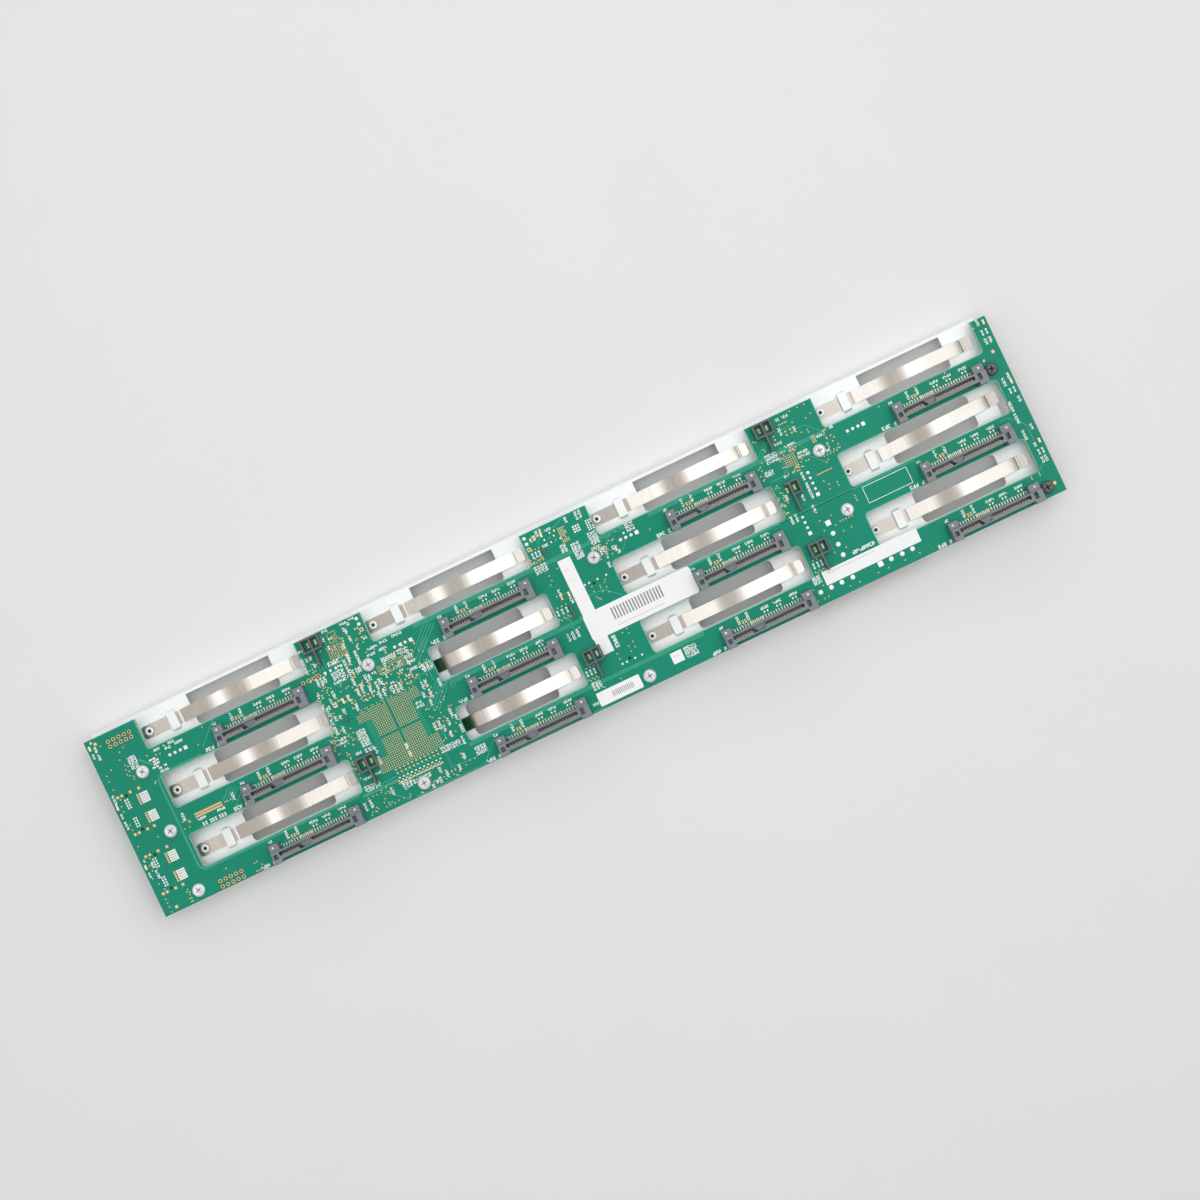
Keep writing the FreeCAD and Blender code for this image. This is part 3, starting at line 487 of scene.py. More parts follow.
def softened(node_names, name, width, sharp=25.0):
    """A merged copy of CAD nodes with small bevels on their edges."""
    shape = bmesh.new()
    for node_name in node_names:
        shape.from_mesh(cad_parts[node_name].data)
    bmesh.ops.remove_doubles(shape, verts=shape.verts, dist=1e-6)
    bmesh.ops.dissolve_limit(shape, angle_limit=math.radians(1.0), verts=shape.verts, edges=shape.edges)
    mesh = bpy.data.meshes.new(name)
    shape.to_mesh(mesh)
    shape.free()
    piece = show(mesh, name)
    bevel = piece.modifiers.new("Soft edges", "BEVEL")
    bevel.width = width
    bevel.segments = 2
    bevel.limit_method = "ANGLE"
    bevel.angle_limit = math.radians(sharp)
    bevel.harden_normals = False
    return piece


# ---- operators ------------------------------------------------------------------------

class BACKPLANE_OT_board(bpy.types.Operator):
    """Coat the circuit board: green mask on its faces, bare laminate at its routed edges."""
    bl_idname = "backplane.board"
    bl_label = "Circuit board"

    def execute(self, context):
        look = context.scene.backplane_board
        mask, shader, grains = finish("Solder mask", look.mask, tone=0.10, grain=900.0, rough=0.36,
                                      spread=0.05, bump=0.10, Specular_IOR_Level=0.22)
        edge_tint(mask, shader, grains, look.laminate)
        wear(["circuit_board"], mask)
        return {"FINISHED"}


class BACKPLANE_OT_metal(bpy.types.Operator):
    """Finish the back plate, leaf springs and standoffs."""
    bl_idname = "backplane.metal"
    bl_label = "Plate and springs"

    def execute(self, context):
        look = context.scene.backplane_metal
        zinc = finish("Zinc plate", look.zinc, tone=0.04, grain=420.0, rough=0.42, spread=0.08, metallic=0.15,
                      bump=0.06)[0]
        strip = finish("Spring strip", look.spring, tone=0.05, grain=260.0, stretch=(4.0, 0.2, 1.0),
                       rough=0.28, spread=0.07, metallic=1.0, bump=0.01)[0]
        post = finish("Standoff steel", look.bright_screw, tone=0.05, grain=500.0, rough=0.35,
                      metallic=0.9)[0]
        wear(["back_plate"], zinc)
        wear([f"leaf_spring_c{c}_r{r}" for c, r in drive_places()], strip)
        wear(["plate_standoffs"], post)
        return {"FINISHED"}


def cross_cut_head(name, rise, radius, cross):
    """A pan head with a cross recess, its underside at z 0."""
    profile = [(0, 0), (radius, 0), (radius, rise*0.45), (radius*0.93, rise*0.75), (radius*0.72, rise*0.96),
               (radius*0.45, rise), (0, rise)]
    head = turned(f"{name}_head", profile)
    cutter = bmesh.new()
    for turn in (0, math.pi/2):
        made = bmesh.ops.create_cube(cutter, size=1.0)
        bmesh.ops.scale(cutter, vec=(cross*MM, cross*0.24*MM, rise*MM), verts=made["verts"])
        bmesh.ops.rotate(cutter, cent=(0, 0, 0), matrix=Matrix.Rotation(turn, 3, "Z"), verts=made["verts"])
        bmesh.ops.translate(cutter, vec=(0, 0, rise*1.05*MM), verts=made["verts"])
    mesh = bpy.data.meshes.new(f"{name}_cross")
    cutter.to_mesh(mesh)
    cutter.free()
    cross_piece = show(mesh, f"{name}_cross")
    cut = head.modifiers.new("Cross", "BOOLEAN")
    cut.operation = "DIFFERENCE"
    cut.solver = "EXACT"
    cut.use_self = True
    cut.object = cross_piece
    bpy.context.view_layer.update()
    graph = bpy.context.evaluated_depsgraph_get()
    result = bpy.data.meshes.new_from_object(head.evaluated_get(graph), depsgraph=graph)
    bpy.data.objects.remove(head)
    bpy.data.objects.remove(cross_piece)
    return show(result, f"{name}_cut")


def screw_spots(corner):
    """Where the plain or the dark screws stand on the board."""
    if corner:
        return [spot(422.7, 22.1), spot(422.7, 78.5)]
    grid = [(1, 1), (1, 2), (1, 3), (2, 1), (2, 3), (3, 1), (3, 3), (4, 1), (4, 2)]
    return [from_window(column, row, -6.2, 23.3) for column, row in grid]


class BACKPLANE_OT_fasteners(bpy.types.Operator):
    """Cross-headed screws and eyed rivets in place of the plain solids."""
    bl_idname = "backplane.fasteners"
    bl_label = "Screws and rivets"

    def execute(self, context):
        look = context.scene.backplane_metal
        chance = random.Random(context.scene.backplane_stage.seed)
        bright = finish("Bright screw", look.bright_screw, tone=0.08, grain=700.0, rough=0.30,
                        metallic=0.55)[0]
        dark = finish("Dark screw", look.dark_screw, tone=0.15, grain=700.0, rough=0.30, metallic=0.7)[0]
        # painted shade: blue-grey for the bright screws' cross recesses, near black for the dark screws'
        # recesses and the rivet eyes
        bright_recess_shade = finish("Bright screw recess, painted shade", (0.50, 0.58, 0.63), tone=0.2, grain=700.0, rough=0.35, metallic=0.5)[0]
        shade = finish("Dark recess, painted shade", (0.045, 0.048, 0.052), tone=0.2, grain=700.0, rough=0.45,
                       metallic=0.3)[0]
        for name, corner, material, recess, slot_name in (
                ("board_screws", False, bright, bright_recess_shade, "screw_bright"),
                ("corner_screws", True, dark, shade, "screw_dark")):
            places = screw_spots(corner)
            turns = [chance.uniform(0, math.pi) for _ in places]
            head = cross_cut_head(name, rise=2.0, radius=2.9, cross=3.0)
            settle(place_copies(f"{name}_heads", head, places, material, turns), slot_name)
            # thin blocks on the floor of each cross recess: painted shade that darkens the cross
            floors = [place + Vector((0, 0, 1.1*MM)) for place in places]*2
            across = turns + [turn + math.pi/2 for turn in turns]
            settle(repeat(f"{name}_recesses", "block", floors, recess, across,
                          length=2.9*MM, width=0.64*MM, height=0.1*MM), slot_name)
            shanks = repeat(f"{name}_shanks", "disc", [p - Vector((0, 0, 3.4*MM)) for p in places], material,
                            length=2.9*MM, height=7.2*MM, sides=20)
            settle(shanks, slot_name, name)
        eyelet = turned("rivet_template", [(0, -1.98), (1.5, -1.98), (1.8, -1.75), (1.8, -1.2),
                (1.2, -1.2), (1.2, 0.4), (2.0, 0.4), (2.0, 0.55), (1.93, 0.95), (1.78, 1.16), (1.4, 1.28),
                (1.05, 1.3), (0.82, 1.22), (0.70, 0.9), (0.66, -0.4), (0, -0.4)], 24)
        places = [from_window(c, r, 2.2, 8.5) for c, r in drive_places()]
        plate_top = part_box("plate_standoffs")[0].z
        for place in places:
            place.z = plate_top
        pale = finish("Rivet metal, painted rim shade", (0.97, 0.98, 0.98), tone=0.03, grain=700.0, rough=0.34, metallic=0.1)
        # the grey on the rivets' sloped sides is painted shade round the white ring
        edge_tint(*pale, (0.42, 0.43, 0.45), 0.90)
        rivets = place_copies("spring_rivets_eyed", eyelet, places, pale[0])
        settle(rivets, "rivet_metal", "spring_rivets")
        # dark discs at the bottom of the rivet eyes: painted shade in the eyes
        eye_shade = repeat("rivet_eyes", "disc", [place + Vector((0, 0, 0.30*MM)) for place in places], shade,
                      length=1.30*MM, height=0.6*MM, sides=16)
        settle(eye_shade, "rivet_metal")
        return {"FINISHED"}


class BACKPLANE_OT_mouldings(bpy.types.Operator):
    """Soft-edged plastic for the drive sockets, light shields and rear connectors."""
    bl_idname = "backplane.mouldings"
    bl_label = "Mouldings"

    def execute(self, context):
        look = context.scene.backplane_socket
        slate = finish("Slate moulding", look.moulding, tone=0.10, grain=900.0, rough=0.40, bump=0.12,
                       Specular_IOR_Level=0.6)[0]
        charcoal = finish("Charcoal moulding", look.shield, tone=0.12, grain=900.0, rough=0.42, bump=0.12)[0]
        nylon = finish("Natural nylon", (0.74, 0.70, 0.60), tone=0.05, grain=700.0, rough=0.45)[0]
        black = finish("Black moulding", (0.028, 0.028, 0.030), tone=0.12, grain=800.0, rough=0.42)[0]
        resin = finish("Chip resin", (0.030, 0.030, 0.033), tone=0.15, grain=1200.0, rough=0.5)[0]
        for column, row in drive_places():
            tag = f"c{column}_r{row}"
            body = softened([f"drive_socket_{tag}"], f"socket_body_{tag}", 0.12*MM)
            body.data.materials.append(slate)
            settle(body, "socket_plastic", f"drive_socket_{tag}")
        shields = [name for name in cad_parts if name.startswith("light_shield_")] + ["shield_stubs"]
        for name in sorted(shields):
            body = softened([name], f"{name}_moulding", 0.08*MM)
            body.data.materials.append(charcoal)
            settle(body, "shield_plastic", name)
        wear(["power_socket_left", "power_socket_right", "power_socket_side", "signal_headers"], nylon)
        wear(["data_socket_upper", "data_socket_lower"], black)
        wear(["switch_chip"], resin)
        return {"FINISHED"}


class BACKPLANE_OT_contacts(bpy.types.Operator):
    """Solder tails behind each socket and gold blades along its slot."""
    bl_idname = "backplane.contacts"
    bl_label = "Contacts"

    def execute(self, context):
        look = context.scene.backplane_socket
        gold = finish("Contact gold", look.contact, tone=0.12, grain=900.0, rough=0.28, metallic=0.85)[0]
        tinned = finish("Tinned tail", (0.88, 0.82, 0.70), tone=0.12, grain=900.0, rough=0.30,
                        metallic=0.5)[0]
        wear([f"socket_contacts_c{c}_r{r}" for c, r in drive_places()], tinned)
        lens = finish("Lamp resin", look.lens, tone=0.10, grain=1200.0, rough=0.22, bump=0.03)[0]
        amber = finish("Amber phosphor", (0.92, 0.42, 0.05), tone=0.10, grain=1500.0, rough=0.5)[0]
        wear(["status_lamps"], lens)
        spots = [from_window(column, row, *LAMP_SPOT) for column, row in drive_places() if column < 4]
        settle(repeat("lamp_phosphor", "block", spots, amber, length=0.8*MM, width=1.1*MM, height=0.04*MM),
               "lamp_lens")
        groups = (("wide_left", 5.9, look.contact_pitch, 6), ("wide_right", 19.5, look.contact_pitch, 14))
        for name, start, pitch, count in groups:
            places = []
            for column, row in drive_places():
                low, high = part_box(f"drive_socket_c{column}_r{row}")
                places.append(Vector((low.x + (start - BLADE_BACK)*MM, high.y - BLADE_BELOW*MM,
                                      high.z - BLADE_DEEP*MM)))
            blades = repeat(f"contact_blades_{name}", "block", places, gold, length=look.blade_width,
                            width=0.34*MM, height=4.4*MM, count=count, pitch=pitch)
            settle(blades, "contact_metal")
        return {"FINISHED"}


# ---- what is printed and plated on the seen face ---------------------------------------

# in mm: height of fine print, room for one stroke group, and widths of a lane of print
PRINT_TALL, GROUP_ROOM = 1.15, 0.97
UPRIGHT_LANE, LEVEL_LANE = 1.45, 1.3
# from one stroke group to the next, as a share of its height
PRINT_STEP = 0.84

# stroke groups, each stroke its middle across and up, width and height as shares of the print's height
GLYPHS = (
    ((-0.24, 0.0, 0.25, 1.0), (0.08, 0.38, 0.5, 0.25), (0.08, -0.38, 0.5, 0.25)),
    ((0.24, 0.0, 0.25, 1.0), (-0.08, 0.0, 0.5, 0.25), (-0.08, -0.38, 0.5, 0.25)),
    ((0.0, 0.38, 0.66, 0.25), (0.0, 0.0, 0.66, 0.25), (0.0, -0.38, 0.66, 0.25)),
    ((-0.24, 0.2, 0.25, 0.6), (0.24, -0.2, 0.25, 0.6), (0.0, 0.0, 0.6, 0.25)),
    ((-0.2, 0.0, 0.27, 1.0), (0.2, 0.12, 0.27, 0.75)),
)


class FacePrint:
    """Gathers the marks and pads of the seen face, in mm from the board's left flange corner."""

    def __init__(self, seed):
        self.chance = random.Random(seed)
        self.marks, self.gold, self.tin, self.vias, self.covered = [], [], [], [], []
        self.rings, self.fine, self.holes, self.joints, self.bodies = [], [], [], [], []

    def text(self, x, y, count, upright=False, tall=PRINT_TALL):
        """A run of short strokes where fine print stands, spelling nothing."""
        for index in range(count):
            along = (index - (count - 1)/2)*tall*PRINT_STEP
            for dx, dy, wide, high in self.chance.choice(GLYPHS):
                if upright:
                    self.marks.append((x + dy*tall, y - along - dx*tall, high*tall, wide*tall))
                else:
                    self.marks.append((x + along + dx*tall, y - dy*tall, wide*tall, high*tall))

    def texts(self, runs, tall=PRINT_TALL):
        """Many runs: x, y, number of stroke groups, and 1 where the run stands upright."""
        for x, y, count, upright in runs:
            self.text(x, y, count, bool(upright), tall)

    def block(self, left, top, right, bottom, upright=True):
        """A field packed with runs of print."""
        if upright:
            lanes = max(1, round((right - left)/UPRIGHT_LANE))
            for lane in range(lanes):
                x = left + (lane + 0.5)*(right - left)/lanes
                self.text(x, (top + bottom)/2, max(1, round((bottom - top)/GROUP_ROOM)), True)
        else:
            lanes = max(1, round((bottom - top)/LEVEL_LANE))
            for lane in range(lanes):
                y = top + (lane + 0.5)*(bottom - top)/lanes
                self.text((left + right)/2, y, max(1, round((right - left)/GROUP_ROOM)))

    def pair(self, x, y, upright=False, metal="tin", gap=1.3, body=None):
        """Two small pads, with or without a chip body between them."""
        for side in (-gap/2, gap/2):
            place = (x, y + side, 0.8, 0.6) if upright else (x + side, y, 0.6, 0.8)
            (self.gold if metal == "gold" else self.tin).append(place)
        if body:
            self.bodies.append((x, y, 0.75, gap - 0.5) if upright else (x, y, gap - 0.5, 0.75))

    def field(self, left, top, across, below, pitch, pads, drop=0.0, size=None):
        """A grid of pads; drop leaves that share of them out."""
        for column in range(across):
            for row in range(below):
                if self.chance.random() >= drop:
                    x, y = left + column*pitch, top + row*pitch
                    pads.append((x, y, size, size) if size else (x, y))

    def scatter(self, left, top, right, bottom, count):
        """Vias strewn over a field."""
        for _ in range(count):
            self.vias.append((self.chance.uniform(left, right), self.chance.uniform(top, bottom)))


def print_drive_places(face):
    """What repeats round every drive socket."""
    for column, row in drive_places():
        low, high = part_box(f"drive_socket_c{column}_r{row}")
        x, y = (low.x - BOARD_LOW.x)/MM, (BOARD_HIGH.y - high.y)/MM
        for step in (21.6, 27.7, 35.2):
            face.text(x + step, y - 1.3, 4)
            face.pair(x + step, y + 0.4, gap=1.5)
            face.covered.append([(x + step - 0.75, y + 0.7), (x + step - 0.9, y + 2.0)])
            face.covered.append([(x + step + 0.75, y + 0.7), (x + step + 0.9, y + 2.0)])
        for step in (8.9, 13.4):
            face.text(x + step, y - 1.0, 4, True)
        for step in (10.6, 11.9):
            face.pair(x + step, y + 0.5, True, "gold", gap=0.9)
        face.text(x + 0.9, y - 1.2, 2)
        face.text(x - 5.2, y + 7.6, 3, tall=1.6)
        face.text(x - 1.0, y + 7.6, 1, tall=1.6)
        for step in (5.0, 9.2, 13.6, 14.4, 16.8, 18.7, 19.6, 20.7, 23.2, 25.8, 28.4, 30.7, 33.4, 36.4):
            face.vias.append((x + step, y + 1.75))
        for step in (1.7, 40.6):
            face.joints.append((x + step, y + 1.5, 1.0, (low.z - BOARD_HIGH.z)/MM + 6.0))


def print_left_end(face):
    """The board's left end: cable pads, power footprints and the marks beside them."""
    for step in range(5):
        for start, y in ((9.8, 3.9), (9.8, 6.3), (27.8, 79.0), (27.8, 81.6)):
            face.rings.append((start + 2.52*step, y))
    for x, y in ((4.4, 2.6), (6.1, 80.9), (426.7, 15.6), (426.5, 78.2)):
        face.gold.append((x, y, 1.3, 1.3))
    for y, last in ((27.6, 13.2), (45.2, 12.4), (55.7, 13.4), (73.4, 12.7)):
        for x in (3.3, 5.2, 9.2, last):
            face.gold.append((x, y, 1.15, 1.15))
    for x, y in ((7.1, 28.4), (7.1, 44.4), (7.3, 56.6), (7.5, 72.6)):
        face.holes.append((x, y, 1.3))
    for y in (30.1, 38.8, 58.2, 67.0):
        for step in range(4):
            face.pair(6.2, y + 1.22*step, gap=1.1)
    for top, x in ((29.6, 11.3), (38.3, 11.3), (57.7, 11.5), (66.5, 11.5)):
        for step in range(5):
            face.gold.append((x, top + 0.55 + 1.0*step, 0.75, 0.72))
        for column in range(4):
            for row in range(5):
                face.tin.append((x + 1.3 + 0.97*column, top + 0.65 + 0.97*row, 0.86, 0.80))
    for y in (7.3, 35.8, 63.8):
        face.pair(1.5, y, True, gap=1.7, body=True)
    face.texts([(3.5, 5.0, 3, 1), (3.5, 8.5, 3, 1), (1.5, 28.2, 5, 1), (1.6, 40.2, 4, 1),
            (4.5, 60.2, 3, 1), (4.8, 64.8, 4, 1), (2.8, 1.5, 1, 0), (2.0, 57.2, 1, 0), (27.2, 15.8, 3, 0),
            (30.9, 15.8, 1, 0), (34.2, 15.6, 3, 0), (37.3, 16.9, 4, 0), (32.0, 17.3, 3, 0),
            (26.7, 25.4, 4, 0), (25.3, 47.2, 4, 1), (48.5, 48.3, 4, 1), (32.3, 51.1, 4, 0),
            (41.5, 51.1, 4, 0)])
    for row in range(5):
        face.text(15.9, 14.3 + 1.15*row, 4)
    for step in range(12):
        face.gold.append((30.6 + 1.07*step, 48.4, 0.85, 0.85))
        face.gold.append((30.6 + 1.07*step, 49.6, 0.85, 0.85))
    for x in (32.0, 33.3, 35.5, 36.6, 37.8, 39.8, 41.0, 42.3):
        face.pair(x, 53.7, True, gap=0.9)
    for start, y in ((31.5, 20.5), (355.3, 19.7)):
        for step in range(3):
            face.joints.append((start + 2.5*step, y, 1.4, 0.0))
        face.tin.append((start + 7.5, y, 1.6, 1.6))
    for x, y in ((23, 19), (24.6, 19), (25.7, 20), (24.2, 20.2), (24.2, 21.4), (25.6, 21.3), (23, 22.6),
            (24.6, 22.6), (25.5, 23.8), (28, 23.5)):
        face.pair(x, y, gap=0.7)
    face.vias += [(6, 4.4), (12.4, 10.2), (14.7, 9), (11, 13.3), (5.9, 15.6), (12, 16.2), (13, 17.3),
            (11.7, 18.3), (12.6, 19.4), (11.3, 20.4), (12.2, 21.3), (13.6, 22.2), (13.2, 23.3),
            (2.9, 17.2), (2.9, 19.8), (2.9, 23.8), (20.5, 28.9), (21, 28.3), (4, 29), (3.1, 31.8),
            (3, 34.2), (3, 40.6), (3.1, 43), (2.3, 50.4), (11.8, 50.3), (4.5, 57.2), (3.2, 60),
            (3.3, 62.5), (1.9, 65.6), (3.4, 68.8), (4.6, 71.8), (3.2, 76), (3.2, 77.9), (3.2, 79.7),
            (3.2, 82), (13.6, 76.3), (12.8, 77.1), (13.9, 77.7), (13.5, 78.7), (12.8, 80.2), (13.6, 80.2),
            (12.9, 81.7), (13.6, 81.6), (32.4, 75.2), (44.5, 78.3), (45.7, 78.2), (47.3, 80.2), (43.9, 82),
            (44.9, 82), (46, 82), (49.2, 15.7), (44.5, 21.8), (22.4, 16.6), (26.1, 17.9), (27.9, 18.2),
            (24.2, 49), (26.9, 49.6), (27.2, 50.4), (26.5, 50.2), (23.7, 52.2), (26, 52.2), (44.5, 49),
            (45.6, 49.2), (47, 49)]


def print_chip_field(face):
    """The dense field between the first two columns, over the switch chip."""
    pitch = 0.95
    for column in range(31):
        for row in range(31):
            x, y = 111.4 + pitch*column, 38.6 + pitch*row
            narrow = 44.0 < y < 61.0
            in_gap = (abs(x - 125.7) < 0.5 and y < 59.0) or (abs(y - 52.6) < 0.5 and 116.5 < x < 135.5)
            ragged = y < 40.5 and (x < 113.0 or face.chance.random() < 0.25)
            if in_gap or ragged or (narrow and not 114.0 < x < 137.8):
                continue
            if narrow and (x < 116.2 or x > 135.4):
                face.covered.append([(x - 0.3, y), (x + 0.3, y)])
            else:
                face.fine.append((x, y))
    face.field(112.2, 8.2, 9, 7, 0.95, face.fine)
    face.field(112.0, 2.4, 9, 6, 0.9, face.fine, drop=0.45)
    face.field(128.4, 24.9, 14, 5, 0.95, face.fine, drop=0.12)
    face.field(128.4, 26.5, 14, 3, 0.80, face.tin, drop=0.55, size=0.45)
    for step in range(11):
        x = 116.9 + 1.93*step
        face.pair(x, 68.9, True, "gold", gap=1.6)
        face.pair(x, 72.9, True, gap=1.9)
        face.pair(x - 0.95, 73.6, True, "gold", gap=1.1)
        face.covered.append([(x, 70.2), (x + 0.9, 70.9)])
    for step in range(4):
        face.rings.append((96.7 + 2.52*step, 17.4))
        face.joints.append((107.1 + 2.52*step, 17.4, 1.3, 0.0))
    for x in (129.3, 209.4):
        face.joints += [(x, 1.9, 1.6, 0.0), (x, 4.5, 1.6, 0.0)]
        face.gold.append((x, 7.1, 1.7, 1.7))
        face.holes.append((x, 7.1, 0.8))
    for x, y in ((139.0, 20.1), (141.5, 20.1), (144.0, 20.1)):
        face.joints.append((x, y, 1.4, 0.0))
    face.tin.append((146.6, 20.1, 1.6, 1.6))
    face.texts([(101, 4.5, 3, 0), (114.5, 0.9, 3, 0), (123, 1.3, 3, 0), (127, 0.9, 3, 0), (100.2, 9, 3, 1),
            (102.2, 9, 2, 1), (104.1, 9, 2, 1), (100.2, 13.2, 4, 1), (119.5, 10.2, 3, 1),
            (122.9, 4.8, 3, 1), (123.1, 8.3, 3, 1), (125, 2.2, 2, 1), (118.8, 16.3, 6, 1),
            (122.6, 17.3, 7, 1), (116.6, 21.6, 13, 1), (102.5, 20.2, 4, 1), (104.2, 20.4, 4, 1),
            (105.8, 19.9, 3, 1), (104.2, 29.6, 3, 1), (106.5, 27.6, 4, 1), (101.1, 33.3, 4, 1),
            (107.5, 35.8, 3, 1), (104.9, 37.5, 2, 1), (100.9, 38, 3, 1), (102.9, 37.3, 2, 1),
            (113.3, 36.5, 4, 1), (116.5, 31, 4, 1), (118.7, 30.2, 5, 1), (111.7, 31.4, 3, 1),
            (122, 27, 4, 1), (123.6, 27.2, 3, 1), (125, 31.8, 4, 1), (121.8, 31.5, 3, 1),
            (126.7, 30.6, 3, 1), (124.5, 36, 4, 1), (126.6, 35.8, 4, 1), (130.6, 36.3, 4, 1),
            (132.4, 36.4, 4, 1), (134.2, 36.5, 4, 1), (103.9, 43, 4, 1), (100.7, 42, 4, 1),
            (101.5, 46.2, 4, 0), (101.7, 47.8, 4, 0), (105.3, 54.7, 3, 0), (112.8, 57, 3, 1),
            (112.2, 61.4, 4, 1), (104.2, 66.1, 4, 0), (109.4, 66.1, 3, 0), (98.2, 77, 4, 1),
            (101, 77, 4, 1), (111.6, 76, 4, 1), (117.2, 76, 4, 1), (118.8, 76, 3, 1), (120.4, 76, 3, 1),
            (134, 76.4, 3, 1), (136.2, 79.2, 4, 1), (131, 80.3, 2, 1), (132.5, 80.3, 3, 1),
            (128.6, 81.4, 2, 1), (123, 81.9, 1, 1), (142, 15.4, 5, 0), (135.5, 15.7, 4, 0),
            (130.2, 16.1, 5, 0), (134, 18.4, 4, 0), (142, 22.2, 4, 0), (142, 23.7, 4, 0),
            (142.7, 25.9, 4, 0), (142.7, 28.6, 4, 0), (142.5, 31.8, 4, 0), (146.6, 33.5, 4, 1),
            (148.4, 33.3, 4, 1), (150, 33.3, 4, 1), (142.8, 40.3, 4, 1), (144.6, 40, 4, 1),
            (144.6, 44.6, 4, 1), (141.5, 44, 3, 1), (150, 42, 4, 1), (138, 46, 3, 0), (138.2, 47.7, 4, 0),
            (143, 48.3, 3, 1), (140.2, 58.5, 4, 1), (142.2, 58.5, 4, 1), (146.3, 59, 4, 1),
            (150.2, 58.8, 3, 1), (143.5, 61, 3, 1), (145, 64.3, 3, 1), (150.2, 64, 4, 1),
            (148.8, 55.8, 4, 1), (148.6, 69, 4, 1), (142.3, 79, 3, 1), (146, 75.4, 3, 1),
            (125.5, 60.8, 3, 1), (125.5, 64.6, 3, 1)])
    for left, top, right, bottom, upright in ((109, 18.2, 115, 22.4, True),
            (108.5, 22.7, 114.5, 23.8, False), (108, 46, 112.2, 53.3, True), (101, 68.7, 108.4, 72, True),
            (108, 54.2, 113, 56.2, True), (137.8, 67.5, 147.4, 70.6, True), (151.2, 74, 156.4, 77.6, True),
            (131, 22, 138, 24, False), (119.5, 21, 122, 23.4, False), (126.5, 17.8, 130.5, 19.4, False),
            (109.5, 14.0, 115.0, 15.6, True), (121.2, 75.2, 130, 77.2, True)):
        face.block(left, top, right, bottom, upright)
    for left, top, right, bottom, count in ((99.5, 8, 131, 24, 70), (99, 24, 151, 37.5, 95),
            (97, 41, 108, 52, 30), (139.5, 39, 151, 66, 45), (99, 73, 116, 82, 26), (117, 78, 151, 82, 18),
            (96.5, 43, 98, 52, 14), (100.6, 52, 101.8, 66, 15)):
        face.scatter(left, top, right, bottom, count)
    for _ in range(70):
        x = face.chance.uniform(99.8, 150)
        y = face.chance.choice((face.chance.uniform(3, 36), face.chance.uniform(3, 36)))
        if (x > 130 and y < 15) or (105 < x < 112 and y < 7) or (122 < x < 128 and 18 < y < 25):
            continue
        face.pair(x, y, face.chance.random() < 0.6, face.chance.choice(("tin", "gold")), gap=1.1)
    for x, y, upright in ((128, 9.2, 1), (141.5, 35, 0), (137.2, 35.6, 1), (139, 35.6, 1),
            (118.3, 34.4, 1), (120, 34.4, 1), (121.8, 34.4, 1), (109, 31.4, 1), (145.2, 74.8, 1),
            (139.2, 79, 0)):
        face.pair(x, y, bool(upright), "gold", gap=1.8)


